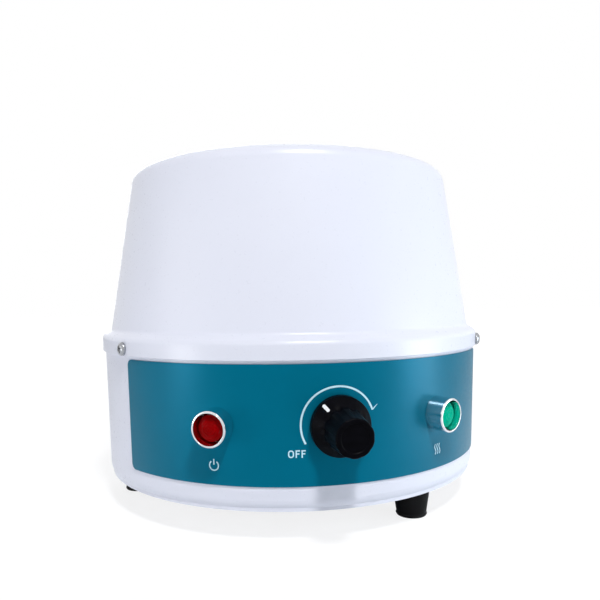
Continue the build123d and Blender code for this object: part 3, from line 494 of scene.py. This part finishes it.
# ---------------------------------------------------------------- indicator lamps
# Radii, and heights from the panel's face.
LAMP_ANGLE = 29.1
BEZEL_BORE, BEZEL_THREAD, BEZEL_REACH = 4.5, 5.9, 13.0
BEZEL_RADIUS, BEZEL_FRONT = 7.5, 8.3
BEZEL_MOUTH, BEZEL_THROAT = 6.6, 5.6
LENS_SEAT = 2.8
LENS_RADIUS, LENS_NECK_RADIUS = 5.5, 5.4
LENS_NECK_TOP, LENS_EDGE, LENS_TOP = 3.9, 5.4, 7.4
STEM_BORE, STEM_RADIUS, STEM_LOW = 3.3, 4.5, -0.2
LENS_HOLLOW = ((0.0, 6.2), (1.6, 5.7), (STEM_BORE, 3.8))
RIPPLE_PITCH, RIPPLE_HEIGHT, RIPPLE_FADE = 1.32, 0.07, 0.6
FACE_DROP = 0.02


def bezel_outline():
    points = [
        (BEZEL_BORE, -BEZEL_REACH), (BEZEL_THREAD, -BEZEL_REACH), (BEZEL_THREAD, 0.0),
        (BEZEL_RADIUS, 0.0), (BEZEL_RADIUS, BEZEL_FRONT), (BEZEL_MOUTH, BEZEL_FRONT),
        (BEZEL_THROAT, LENS_SEAT), (BEZEL_BORE, LENS_SEAT),
    ]
    return rounded(points, [0, 0.3, 0, 0, 0.62, 0.12, 0.2, 0], 7)


def lens_outline():
    """Domed lens with pressed rings on its face and a hollow stem."""
    outline = [*LENS_HOLLOW, (STEM_BORE, STEM_LOW), (STEM_RADIUS, STEM_LOW), (STEM_RADIUS, LENS_SEAT)]
    outline += [(LENS_NECK_RADIUS - 0.2, LENS_SEAT), (LENS_NECK_RADIUS - 0.1, LENS_SEAT + 0.12)]
    outline.append((LENS_NECK_RADIUS, LENS_NECK_TOP))
    rise = LENS_TOP - LENS_EDGE
    ball = (LENS_RADIUS**2 + rise**2) / (2 * rise)
    steps = 66
    for k in range(steps + 1):
        r = LENS_RADIUS * (1 - k / steps)
        dome = LENS_TOP - ball + sqrt(ball**2 - r**2)
        fade = min(1.0, (LENS_RADIUS - r) / RIPPLE_FADE)
        ripple = RIPPLE_HEIGHT * cos(2 * pi * r / RIPPLE_PITCH) * fade
        outline.append((r, dome + ripple - FACE_DROP))
    return outline


for lamp, azimuth, slot in (("power_lamp", -LAMP_ANGLE, "red_lens"), ("heat_lamp", LAMP_ANGLE, "green_lens")):
    seat = wall_seat(azimuth, CONTROLS_Z, PANEL_THICKNESS)
    dress(lathe(f"{lamp}_ring", bezel_outline(), seat, 96), "bezel_chrome", "housing", f"{lamp}_bezel")
    dress(lathe(f"{lamp}_dome", lens_outline(), seat, 72, 60), slot, "housing", f"{lamp}_lens")

# ---------------------------------------------------------------- control knob
# Heights count from the panel's face, and 0 degrees is at the right of the knob.
KNOB_GAP, KNOB_FRONT, KNOB_EDGE = 1.3, 22.8, 0.7
KNOB_SKIRT_RADIUS, KNOB_SKIRT_TOP = 12.5, 4.5
BARREL_RADIUS, BARREL_FOOT = 8.7, 9.5
BARREL_TAPER = tan(radians(4.6))
HOLLOW_RADIUS, HOLLOW_END = 8.6, 6.3
BORE_RADIUS, BORE_END = 4.6, 17.8
FLUTES, FLUTE_RADIUS, FLUTE_DEPTH = 10, 2.4, 0.6
FLUTE_START = 0.55  # share of the skirt's slope below the first trace of a flute
FLUTE_AT_FRONT = 0.2  # share of the flutes' depth that is left at the front
FLUTE_BLEND = 0.22
# The face: radius, depth below the front, share of the flutes' depth.
KNOB_FACE = (
    (6.6, 0.0, 0.1), (5.8, 0.0, 0.0), (5.6, 0.08, 0.0), (5.45, 0.38, 0.0),
    (5.2, 0.4, 0.0), (2.5, 0.4, 0.0), (0.0, 0.4, 0.0),
)
SET_SCREW_RADIUS, SET_SCREW_HEIGHT = 1.5, 10.5
SET_SCREW_FROM, SET_SCREW_TO = 5.0, 12.0
POINTER_TURN = radians(130.0)
POINTER_MARGIN, POINTER_LENGTH, POINTER_HALF_WIDTH = 0.5, 4.2, 0.7
POINTER_LEVELS = ((-0.4, 0.0), (0.04, 0.0), (0.09, 0.08))  # height over the slope, inset of the edge


def soft_min(a, b, k):
    h = max(0.0, min(1.0, 0.5 + 0.5 * (b - a) / k))
    return b + (a - b) * h - k * h * (1 - h)


def flute(t):
    """How far the fluted outline lies inside the barrel's circle at this angle."""
    pitch = 2 * pi / FLUTES
    t = (t + pitch / 2) % pitch - pitch / 2
    far = BARREL_RADIUS + FLUTE_RADIUS - FLUTE_DEPTH
    inside = FLUTE_RADIUS**2 - (far * sin(t)) ** 2
    scoop = far * cos(t) - sqrt(inside) if inside > 0 else BARREL_RADIUS + 2.0
    return BARREL_RADIUS - soft_min(BARREL_RADIUS, scoop, FLUTE_BLEND)


def knob_profile():
    """(radius, height, share of the flutes' depth) from the bore's end, round the skirt, to the face."""
    profile = [(0.0, BORE_END, 0), (BORE_RADIUS, BORE_END, 0), (BORE_RADIUS, HOLLOW_END, 0)]
    profile += [(HOLLOW_RADIUS, HOLLOW_END, 0), (HOLLOW_RADIUS, KNOB_GAP, 0)]
    skirt = [
        (HOLLOW_RADIUS, KNOB_GAP), (KNOB_SKIRT_RADIUS, KNOB_GAP),
        (KNOB_SKIRT_RADIUS, KNOB_SKIRT_TOP), (BARREL_RADIUS, BARREL_FOOT),
    ]
    for r, h in rounded(skirt, [0, 0.5, 0.7, 0], closed=False)[1:-1]:
        profile.append((r, h, 0.0))
    low_r, low_h, _ = profile[-1]
    slope_steps, barrel_steps, edge_steps = 7, 9, 7
    for k in range(1, slope_steps + 1):
        t = k / slope_steps
        share = max(0.0, (t - FLUTE_START) / (1 - FLUTE_START)) ** 1.5
        profile.append((low_r + (BARREL_RADIUS - low_r) * t, low_h + (BARREL_FOOT - low_h) * t, share))
    for k in range(1, barrel_steps + 1):
        h = BARREL_FOOT + (KNOB_FRONT - KNOB_EDGE - BARREL_FOOT) * k / barrel_steps
        share = 1.0 - (1.0 - FLUTE_AT_FRONT) * (k / barrel_steps)
        profile.append((BARREL_RADIUS - (h - BARREL_FOOT) * BARREL_TAPER, h, share))
    top_r = profile[-1][0]
    for k in range(1, edge_steps + 1):
        t = k / edge_steps * pi / 2
        h = KNOB_FRONT - KNOB_EDGE + KNOB_EDGE * sin(t)
        profile.append((top_r - KNOB_EDGE * (1 - cos(t)), h, FLUTE_AT_FRONT))
    return profile + [(r, KNOB_FRONT - depth, share) for r, depth, share in KNOB_FACE]


def knob_mesh():
    bm = bmesh.new()
    turns = FLUTES * 26
    offsets = [flute(2 * pi * k / turns) for k in range(turns)]
    rings = []
    for radius, height, share in knob_profile():
        if radius == 0.0:
            rings.append([bm.verts.new((0, 0, height))])
            continue
        ring = []
        for k in range(turns):
            t = 2 * pi * k / turns
            r = radius - offsets[k] * share
            ring.append(bm.verts.new((r * cos(t), r * sin(t), height)))
        rings.append(ring)
    for ring, following in zip(rings, rings[1:]):
        bridge(bm, ring, following)
    return bm


def set_screw_hole(knob_seat):
    """Drill for the set screw's hole, on the side away from the pointer."""
    hole = bmesh.new()
    reach = [(0, SET_SCREW_FROM), (SET_SCREW_RADIUS, SET_SCREW_FROM)]
    reach += [(SET_SCREW_RADIUS, SET_SCREW_TO), (0, SET_SCREW_TO)]
    turned(hole, reach, 32)
    axis = Vector((-cos(POINTER_TURN), -sin(POINTER_TURN), 0))
    seat = knob_seat @ placed(Vector((0, 0, SET_SCREW_HEIGHT)), Vector((0, 0, 1)), axis)
    return finished("set_screw_hole", hole, seat=seat, weighted=False)


def pointer_mesh():
    """The painted pointer: a bar with rounded ends along the slope of the skirt."""
    slope_x, slope_z = BARREL_RADIUS - KNOB_SKIRT_RADIUS, BARREL_FOOT - KNOB_SKIRT_TOP
    slope = Vector((slope_x, slope_z)).normalized()
    start = Vector((KNOB_SKIRT_RADIUS, KNOB_SKIRT_TOP)) + slope * POINTER_MARGIN
    radial = Vector((cos(POINTER_TURN), sin(POINTER_TURN), 0))
    along = radial * slope.x + Vector((0, 0, slope.y))
    across = Vector((-sin(POINTER_TURN), cos(POINTER_TURN), 0))
    normal = along.cross(across)
    if normal.dot(radial) < 0:
        normal = -normal
    origin = radial * start.x + Vector((0, 0, start.y))
    ends = ((POINTER_HALF_WIDTH, pi / 2), (POINTER_LENGTH - POINTER_HALF_WIDTH, -pi / 2))
    end_steps = 12
    bar = bmesh.new()
    levels = []
    for level, inset in POINTER_LEVELS:
        radius = POINTER_HALF_WIDTH - inset
        ring = []
        for middle, first in ends:
            for k in range(end_steps + 1):
                t = first + pi * k / end_steps
                place = origin + along * (middle + radius * cos(t)) + across * (radius * sin(t))
                ring.append(bar.verts.new(place + normal * level))
        levels.append(ring)
    for ring, following in zip(levels, levels[1:]):
        band(bar, ring, following)
    bar.faces.new(levels[0])
    bar.faces.new(levels[-1])
    return bar


knob_seat = wall_seat(0, CONTROLS_Z, PANEL_THICKNESS)
knob = finished("knob_body", knob_mesh(), 45, knob_seat)
carve(knob, set_screw_hole(knob_seat))
dress(knob, "black_bakelite", "knob", "control_knob")
dress(finished("pointer_line", pointer_mesh(), seat=knob_seat), "white_fill", "knob", "knob_pointer")

# ---------------------------------------------------------------- panel legends
LEGEND_LIFT = 0.02
SWEEP_RADIUS, SWEEP_WEIGHT = 15.55, 0.8
SWEEP_START, SWEEP_END = -118.8, 70.8  # clockwise from straight up
BARB_TIPS = ((16.95, 7.25), (13.2, 7.6))  # from the knob's axis
OFF_LEFT, OFF_DROP, OFF_HEIGHT = -20.8, 13.0, 3.1
POWER_SIGN_ANGLE, POWER_SIGN_Z = -30.1, 32.5
HEAT_SIGN_ANGLE, HEAT_SIGN_Z = 29.95, 32.9


def on_panel(u, z, lift):
    """Point on the panel: u is the arc length from its middle towards +X, in mm."""
    radius = pan_radius(z) + (PANEL_THICKNESS + lift) / cos(radians(DRAFT))
    azimuth = degrees(u / pan_radius(CONTROLS_Z))
    return outward(azimuth) * radius + Vector((0, 0, z))


def edges_of(path, width, closed):
    """The two edge points beside each point of a band, mitred at the bends."""
    count = len(path)
    pairs = []
    for i, point in enumerate(path):
        here = Vector(point)
        before = Vector(path[i - 1]) if i > 0 or closed else None
        after = Vector(path[(i + 1) % count]) if i < count - 1 or closed else None
        into = (here - before).normalized() if before is not None else (after - here).normalized()
        out = (after - here).normalized() if after is not None else into
        normal = Vector((-into.y - out.y, into.x + out.x))
        if normal.length < 1e-6:
            normal = Vector((-into.y, into.x))
        normal.normalize()
        mitre = 1 / max(0.4, normal.dot(Vector((-out.y, out.x))))
        half = (width[i] if isinstance(width, list) else width) / 2 * mitre
        pairs.append((here + normal * half, here - normal * half))
    return pairs


def stroke(bm, path, width, closed=False):
    """A flat band along (u, z) points on the panel, with square ends; one width or one per point."""
    pairs = edges_of(path, width, closed)
    layers = []
    for lift in (0.0, LEGEND_LIFT):
        layers.append([[bm.verts.new(on_panel(p.x, p.y, lift)) for p in pair] for pair in pairs])
    low, high = layers
    count = len(pairs)
    for i in range(count if closed else count - 1):
        j = (i + 1) % count
        bm.faces.new((high[i][0], high[i][1], high[j][1], high[j][0]))
        bm.faces.new((low[i][0], low[j][0], low[j][1], low[i][1]))
        for side in (0, 1):
            bm.faces.new((low[i][side], high[i][side], high[j][side], low[j][side]))
    if not closed:
        for i in (0, count - 1):
            bm.faces.new((low[i][0], high[i][0], high[i][1], low[i][1]))


def line(a, b, step=0.5):
    a, b = Vector(a), Vector(b)
    parts = max(1, int(ceil((b - a).length / step)))
    return [tuple(a.lerp(b, k / parts)) for k in range(parts + 1)]


def curve(centre, radius, start, end, step):
    """Points of an arc; angles in degrees, clockwise from straight up."""
    parts = max(2, int(ceil(abs(end - start) / step)))
    points = []
    for k in range(parts + 1):
        t = radians(start + (end - start) * k / parts)
        points.append((centre[0] + radius * sin(t), centre[1] + radius * cos(t)))
    return points


def sweep_arrow():
    """The arc from eight o'clock over the top to the right of the knob, with two tapered barbs."""
    bm = bmesh.new()
    points = curve((0.0, CONTROLS_Z), SWEEP_RADIUS, SWEEP_START, SWEEP_END, 1.5)
    stroke(bm, points, SWEEP_WEIGHT)
    for tip_u, tip_rise in BARB_TIPS:
        barb = line(points[-1], (tip_u, CONTROLS_Z + tip_rise), 0.4)
        stroke(bm, barb, [0.55 - 0.35 * k / (len(barb) - 1) for k in range(len(barb))])
    return bm


def ring_path(width, height, corner, centre):
    """Rounded rectangle as a closed path."""
    points = []
    for cx, cy, start in ((1, 1, 0), (1, -1, 90), (-1, -1, 180), (-1, 1, 270)):
        middle = (centre[0] + cx * (width / 2 - corner), centre[1] + cy * (height / 2 - corner))
        points += curve(middle, corner, start, start + 90, 18)
    return points


def word_off(left, low, height):
    """OFF in plain upright strokes."""
    bm = bmesh.new()
    weight, gap, corner = 0.52, 0.64, 0.85
    wide_o, wide_f, short_bar = 2.4, 1.75, 0.22
    centre = (left + wide_o / 2, low + height / 2)
    stroke(bm, ring_path(wide_o - weight, height - weight, corner, centre), weight, closed=True)
    x = left + wide_o + gap
    top_bar, middle_bar = low + height - weight / 2, low + height * 0.52
    for _ in range(2):
        stroke(bm, line((x + weight / 2, low), (x + weight / 2, low + height)), weight)
        stroke(bm, line((x + weight, top_bar), (x + wide_f, top_bar)), weight)
        stroke(bm, line((x + weight, middle_bar), (x + wide_f - short_bar, middle_bar)), weight)
        x += wide_f + gap
    return bm


def power_sign(u, z):
    """Open ring with an upright bar: the general sign for power."""
    bm = bmesh.new()
    radius, opening, weight = 2.0, 36, 0.55
    stroke(bm, curve((u, z), radius, opening, 360 - opening, 9), weight)
    stroke(bm, line((u, z + 0.3), (u, z + 2.7)), weight)
    return bm


def heat_sign(u, z):
    """Three rising waves: the general sign for heat."""
    bm = bmesh.new()
    spacing, swing, height, weight, steps = 1.55, 0.45, 4.6, 0.5, 24
    for shift in (-spacing, 0.0, spacing):
        points = []
        for k in range(steps + 1):
            t = k / steps
            points.append((u + shift + swing * sin(2 * pi * t), z - height / 2 + height * t))
        stroke(bm, points, weight)
    return bm


def printed_piece(name, bm):
    dress(finished(name, bm, weighted=False), "white_fill", "housing", material=legend.material)


def arc_length(azimuth):
    return radians(azimuth) * pan_radius(CONTROLS_Z)


printed_piece("legend_sweep", sweep_arrow())
printed_piece("legend_off", word_off(OFF_LEFT, CONTROLS_Z - OFF_DROP, OFF_HEIGHT))
printed_piece("legend_power", power_sign(arc_length(POWER_SIGN_ANGLE), POWER_SIGN_Z))
printed_piece("legend_heat", heat_sign(arc_length(HEAT_SIGN_ANGLE), HEAT_SIGN_Z))

# ---------------------------------------------------------------- feet
FOOT_CIRCLE, FOOT_HEIGHT = 83.97, 12.8
FOOT_BORE, FOOT_RECESS_RADIUS, FOOT_RECESS_DEPTH = 2.0, 4.3, 5.0
FOOT_SOLE, FOOT_LIP, FOOT_LIP_Z = 6.7, 7.2, 0.8
FOOT_NECK, FOOT_NECK_Z, FOOT_TOP = 6.9, 1.6, 8.7

foot_outline = rounded(
    [
        (FOOT_BORE, FOOT_RECESS_DEPTH), (FOOT_RECESS_RADIUS, FOOT_RECESS_DEPTH), (FOOT_RECESS_RADIUS, 0),
        (FOOT_SOLE, 0), (FOOT_LIP, FOOT_LIP_Z), (FOOT_NECK, FOOT_NECK_Z),
        (FOOT_TOP, FOOT_HEIGHT), (FOOT_BORE, FOOT_HEIGHT),
    ],
    [0, 0, 0.3, 0.5, 0.3, 0.3, 0.2, 0],
    5,
)
for name, azimuth in (("foot_front", 30.0), ("foot_rear", 150.0), ("foot_left", -90.0)):
    seat = placed(outward(azimuth) * FOOT_CIRCLE, outward(azimuth), Vector((0, 0, 1)))
    dress(lathe(f"{name}_rubber", foot_outline, seat, 64), "black_rubber", "housing", name)

# ---------------------------------------------------------------- shell screws
SHELL_SCREW_Z, SKIRT_OUT = 79.0, 1.3
SCREW_RADIUS, SCREW_TIP_RADIUS, SCREW_LENGTH, SCREW_CHAMFER = 1.5, 1.2, 7.0, 0.3
HEAD_RADIUS, HEAD_SIDE, HEAD_TOP = 3.1, 0.95, 2.1
RECESS_LENGTH, RECESS_WIDTH, RECESS_DEPTH = 3.5, 0.75, 1.2

screw_outline = rounded(
    [
        (0, -SCREW_LENGTH), (SCREW_TIP_RADIUS, -SCREW_LENGTH), (SCREW_RADIUS, SCREW_CHAMFER - SCREW_LENGTH),
        (SCREW_RADIUS, 0), (HEAD_RADIUS, 0), (HEAD_RADIUS, HEAD_SIDE), (1.9, 1.95), (0, HEAD_TOP),
    ],
    [0, 0, 0, 0, 0.15, 0.5, 1.6, 0],
)
for index, azimuth in enumerate((-60.0, 60.0, 180.0)):
    seat = wall_seat(azimuth, SHELL_SCREW_Z, SKIRT_OUT)
    screw = lathe(f"shell_screw_{index + 1}", screw_outline, seat, 48)
    tightened = seat @ Matrix.Rotation(radians(20 + 35 * index), 4, "Z")
    for arm in ((RECESS_LENGTH, RECESS_WIDTH), (RECESS_WIDTH, RECESS_LENGTH)):
        cross = bmesh.new()
        block(cross, (*arm, 2 * RECESS_DEPTH), (0, 0, HEAD_TOP), tightened)
        carve(screw, finished("recess", cross, weighted=False))
    dress(screw, "zinc_steel", "housing", *(["shell_screws"] if index == 0 else []))

# ---------------------------------------------------------------- upper shell
# Foot, top and mouth as in part.py; the skirt's corner and the neck above it as the photo shows them.
SHEET = 1.0
SKIRT_LOW, SKIRT_RADIUS, SKIRT_FLARE = 75.7, 101.355, 0.1
SKIRT_CORNER_Z, SKIRT_CURL = 83.4, 3.0
NECK_RADIUS, NECK_Z, NECK_CURL = 96.98, 86.2, 2.2
CONE_TOP_RADIUS, SHELL_TOP, SHOULDER = 85.22, 168.3, 7.0
MOUTH_RADIUS, MOUTH_CURL, LIP_END = 59.0, 3.0, 163.3
HEM = 0.25
STUD_CIRCLE, STUD_ANGLES = 75.5, (0.0, 120.0, 240.0)
STUD_LENGTH, STUD_RADIUS, STUD_CHAMFER, STUD_ROOT = 10.0, 1.5, 0.3, 0.3


def sheet_section():
    """The spun sheet from the skirt's lower edge over the shoulder to the mouth's lip."""
    outside = rounded(
        [
            (SKIRT_RADIUS, SKIRT_LOW), (SKIRT_RADIUS + SKIRT_FLARE, SKIRT_CORNER_Z), (NECK_RADIUS, NECK_Z),
            (CONE_TOP_RADIUS, SHELL_TOP), (MOUTH_RADIUS, SHELL_TOP), (MOUTH_RADIUS, LIP_END),
        ],
        [0, SKIRT_CURL, NECK_CURL, SHOULDER, MOUTH_CURL, 0],
        9,
        closed=False,
    )
    inside = []
    for i, point in enumerate(outside):
        before = outside[max(i - 1, 0)]
        after = outside[min(i + 1, len(outside) - 1)]
        way = (after - before).normalized()
        inside.append(point + Vector((-way.y, way.x)) * SHEET)
    lower_edge = (outside[0] + inside[0]) / 2
    outside[0] += Vector((0, HEM))
    inside[0] += Vector((0, HEM))
    lip_edge = (outside[-1] + inside[-1]) / 2
    return [lower_edge] + outside + [lip_edge] + inside[::-1]


def shell_mesh():
    """The sheet with the welded studs under its crown that carry the dish."""
    bm = bmesh.new()
    turned(bm, [tuple(point) for point in sheet_section()], 288)
    stud = [
        (0, -STUD_LENGTH), (STUD_RADIUS - STUD_CHAMFER, -STUD_LENGTH),
        (STUD_RADIUS, STUD_CHAMFER - STUD_LENGTH), (STUD_RADIUS, STUD_ROOT), (0, STUD_ROOT),
    ]
    for azimuth in STUD_ANGLES:
        root = outward(azimuth) * STUD_CIRCLE + Vector((0, 0, SHELL_TOP - SHEET))
        turned(bm, stud, 24, Matrix.Translation(root))
    return bm


dress(finished("shell_sheet", shell_mesh(), 40), "white_enamel", "housing", "upper_shell")

# ---------------------------------------------------------------- flask well
BOWL_RADIUS, JACKET_RADIUS = 55.0, 58.0
COLLAR_RADIUS, COLLAR_LOW, COLLAR_TOP = 68.0, 160.8, 163.3
WELT_CENTRE, WELT_Z, WELT_RADIUS = 56.5, 165.8, 1.5


def bowl_arc(radius):
    """Quarter circle from the bowl's lowest point up to its rim."""
    steps = 36
    angles = [pi / 2 * k / steps for k in range(steps + 1)]
    return [(radius * sin(t), BOWL_CENTRE - radius * cos(t)) for t in angles]


def jacket_outline():
    outline = bowl_arc(JACKET_RADIUS)
    outline += [(JACKET_RADIUS, COLLAR_LOW), (COLLAR_RADIUS, COLLAR_LOW)]
    outline += [(COLLAR_RADIUS, COLLAR_TOP), (JACKET_RADIUS, COLLAR_TOP)]
    welt_steps = 6
    for k in range(welt_steps + 1):
        t = pi * k / welt_steps
        outline.append((WELT_CENTRE + WELT_RADIUS * cos(t), WELT_Z + WELT_RADIUS * sin(t)))
    return outline + bowl_arc(BOWL_RADIUS)[::-1]


jacket = lathe("well_cloth", jacket_outline(), Matrix.Identity(4), 180, 50)
dress(jacket, "glass_cloth", "housing", "heating_jacket")

# ---------------------------------------------------------------- heating cord
CORD_RADIUS, CORD_RING = 1.1, 53.85  # of the cord, and of the ball that its middle line lies on
FIRST_FALL, LAST_FALL, ROUND_PITCH = 16.0, 79.0, 14.0  # degrees from straight down
TAIL_HEIGHTS = (71.0, 85.0, 95.0, 104.0)
STITCH_SPACING, YARN_RADIUS = 8.5, 0.26
STITCH_WIDTH, STITCH_HEIGHT, STITCH_SLANT = 1.36, 1.28, 0.5
STITCH_START, STITCH_SWEEP = -25, 230


def cord_rounds():
    """The cord's way on the bowl: out round by round, half a turn on, and back between."""
    total = (LAST_FALL - FIRST_FALL) / ROUND_PITCH * 2 * pi
    steps, rim_steps = 560, 70
    out_way = []
    for k in range(steps + 1):
        turn = total * k / steps
        out_way.append((turn, radians(FIRST_FALL + ROUND_PITCH * turn / (2 * pi))))
    rim = [(total + pi * k / rim_steps, radians(LAST_FALL)) for k in range(1, rim_steps)]
    back = [(turn + pi, fall) for turn, fall in reversed(out_way)]
    points = []
    for turn, fall in out_way + rim + back:
        ring = CORD_RING * sin(fall)
        points.append(Vector((ring * cos(turn), ring * sin(turn), BOWL_CENTRE - CORD_RING * cos(fall))))
    return points


def cord_path(rounds):
    """The rounds with the two straight tails that go down through the jacket."""
    tail_in = [Vector((rounds[0].x, 0, z)) for z in TAIL_HEIGHTS]
    tail_out = [Vector((rounds[-1].x, 0, z)) for z in reversed(TAIL_HEIGHTS)]
    return tail_in + rounds[1:-1] + tail_out


def stitch_loop(here, before, after):
    """One short loop of yarn over the cord at this point."""
    along = (after - before).normalized()
    inward = (Vector((0, 0, BOWL_CENTRE)) - here).normalized()
    side = along.cross(inward).normalized()
    steps = 7
    loop = []
    for k in range(steps + 1):
        t = radians(STITCH_START + STITCH_SWEEP * k / steps)
        over = side * (STITCH_WIDTH * cos(t)) + inward * (STITCH_HEIGHT * sin(t))
        loop.append(here + over + along * (STITCH_SLANT * (k / steps - 0.5)))
    return loop


def stitches_mesh(rounds):
    bm = bmesh.new()
    since = 0.0
    for i in range(2, len(rounds) - 2):
        since += (rounds[i] - rounds[i - 1]).length
        if since >= STITCH_SPACING:
            since = 0.0
            tube(bm, stitch_loop(rounds[i], rounds[i - 1], rounds[i + 1]), YARN_RADIUS, 5)
    return bm


rounds = cord_rounds()
cord = bmesh.new()
tube(cord, cord_path(rounds), CORD_RADIUS, 10)
dress(finished("heating_cord", cord, 60, weighted=False), "cord_sleeve", "housing", "heating_element")
dress(finished("cord_stitches", stitches_mesh(rounds), 80, weighted=False), "cord_sleeve", "housing")

# ---------------------------------------------------------------- floor and surroundings
FLOOR_HALF = 4000
FLOOR_COLOUR = (0.93, 0.94, 0.96, 1)
FLOOR_GLOW = 1.08
GLOW_NEAR, GLOW_FAR = (0.15, 0.76), (0.5, 1.0)  # distance in metres, share of glow that the camera sees
AMBIENT_COLOUR, AMBIENT_STRENGTH = (0.93, 0.96, 1.0, 1), 0.16


def added(tree, kind, links=(), operation=None):
    """New node, with the given inputs linked to the given outputs."""
    made = tree.nodes.new(kind)
    if operation is not None:
        made.operation = operation
    for socket, source in links:
        tree.links.new(source, made.inputs[socket])
    return made


def floor_material():
    """Matt white that turns into a plain glow for the camera, so that no horizon shows."""
    material = bpy.data.materials.new("floor")
    material.use_nodes = True
    tree = material.node_tree
    matt = tree.nodes["Principled BSDF"]
    matt.inputs["Base Color"].default_value = FLOOR_COLOUR
    matt.inputs["Roughness"].default_value = 0.9
    matt.inputs["Specular IOR Level"].default_value = 0.1
    glow = added(tree, "ShaderNodeEmission")
    glow.inputs["Strength"].default_value = FLOOR_GLOW
    place = added(tree, "ShaderNodeTexCoord")
    away = added(tree, "ShaderNodeVectorMath", [(0, place.outputs["Object"])], "LENGTH")
    fade = added(tree, "ShaderNodeMapRange", [("Value", away.outputs["Value"])])
    fade.inputs["From Min"].default_value, fade.inputs["To Min"].default_value = GLOW_NEAR
    fade.inputs["From Max"].default_value, fade.inputs["To Max"].default_value = GLOW_FAR
    rays = added(tree, "ShaderNodeLightPath")
    seen_share = [(0, rays.outputs["Is Camera Ray"]), (1, fade.outputs["Result"])]
    share = added(tree, "ShaderNodeMath", seen_share, "MULTIPLY")
    layers = [("Fac", share.outputs[0]), (1, matt.outputs[0]), (2, glow.outputs[0])]
    mix = added(tree, "ShaderNodeMixShader", layers)
    tree.links.new(mix.outputs[0], tree.nodes["Material Output"].inputs["Surface"])
    return material


def surroundings():
    """White to the camera, in reflections and through glass; a weak cool light on everything else."""
    world = bpy.data.worlds.new("studio")
    world.use_nodes = True
    tree = world.node_tree
    tree.nodes.clear()
    white = added(tree, "ShaderNodeBackground")
    white.inputs["Color"].default_value = (1, 1, 1, 1)
    white.inputs["Strength"].default_value = 1.0
    ambient = added(tree, "ShaderNodeBackground")
    ambient.inputs["Color"].default_value = AMBIENT_COLOUR
    ambient.inputs["Strength"].default_value = AMBIENT_STRENGTH
    rays = added(tree, "ShaderNodeLightPath").outputs
    direct = [(0, rays["Is Camera Ray"]), (1, rays["Is Glossy Ray"])]
    direct = added(tree, "ShaderNodeMath", direct, "MAXIMUM")
    through = [(0, direct.outputs[0]), (1, rays["Is Transmission Ray"])]
    through = added(tree, "ShaderNodeMath", through, "MAXIMUM")
    layers = [("Fac", through.outputs[0]), (1, ambient.outputs[0]), (2, white.outputs[0])]
    mix = added(tree, "ShaderNodeMixShader", layers)
    added(tree, "ShaderNodeOutputWorld", [("Surface", mix.outputs[0])])
    return world


floor_mesh = bmesh.new()
bmesh.ops.create_grid(floor_mesh, x_segments=8, y_segments=8, size=FLOOR_HALF)
floor = finished("floor", floor_mesh, weighted=False)
floor.data.materials.append(floor_material())
bpy.context.scene.world = surroundings()

# ---------------------------------------------------------------- lights
LIT_POINT = Vector((0, 0, 0.08))


def softbox(name, azimuth, elevation, distance, size, power, colour=(1, 1, 1)):
    """Area light that faces the object's middle; azimuth as for the seats, lengths in metres."""
    light = bpy.data.lights.new(name, "AREA")
    light.shape = "SQUARE"
    light.size = size
    light.energy = power
    light.color = colour
    obj = bpy.data.objects.new(name, light)
    bpy.context.scene.collection.objects.link(obj)
    way = outward(azimuth) * cos(radians(elevation)) + Vector((0, 0, sin(radians(elevation))))
    obj.location = LIT_POINT + way * distance
    obj.rotation_euler = (LIT_POINT - obj.location).to_track_quat("-Z", "Y").to_euler()


softbox("key_above", 3, 52, 1.2, 0.14, 10.2)
softbox("right_low", 56, -4, 0.32, 0.12, 0.26, (0.84, 0.94, 1.0))
softbox("left_fill", -80, 5, 1.6, 0.9, 3.0)
softbox("left_low", -66, -8, 0.42, 0.1, 0.24)
softbox("back_fill", 178, 16, 1.5, 0.9, 13.0)

# ---------------------------------------------------------------- camera, fitted to the photo
LENS, SENSOR_WIDTH, CLIP_START = 35.55, 36.0, 0.01
CAMERA_AZIMUTH, CAMERA_DISTANCE, CAMERA_HEIGHT = -11.15, 338.4, 100.17
CAMERA_YAW, CAMERA_ROLL = 0.0174, -0.0139  # radians


def camera_pose():
    up_axis = Vector((0, 0, 1))
    across = outward(CAMERA_AZIMUTH + 90)
    inward = -outward(CAMERA_AZIMUTH)
    forward = inward * cos(CAMERA_YAW) + across * sin(CAMERA_YAW)
    level = across * cos(CAMERA_YAW) - inward * sin(CAMERA_YAW)
    right = level * cos(CAMERA_ROLL) + up_axis * sin(CAMERA_ROLL)
    up = up_axis * cos(CAMERA_ROLL) - level * sin(CAMERA_ROLL)
    pose = Matrix((right, up, -forward)).transposed().to_4x4()
    pose.translation = (outward(CAMERA_AZIMUTH) * CAMERA_DISTANCE + up_axis * CAMERA_HEIGHT) * MM
    return pose


camera_data = bpy.data.cameras.new("camera")
camera_data.lens = LENS
camera_data.sensor_width = SENSOR_WIDTH
camera_data.clip_start = CLIP_START
camera = bpy.data.objects.new("camera", camera_data)
bpy.context.scene.collection.objects.link(camera)
camera.matrix_world = camera_pose()
bpy.context.scene.camera = camera
bpy.context.scene.view_settings.view_transform = "Standard"
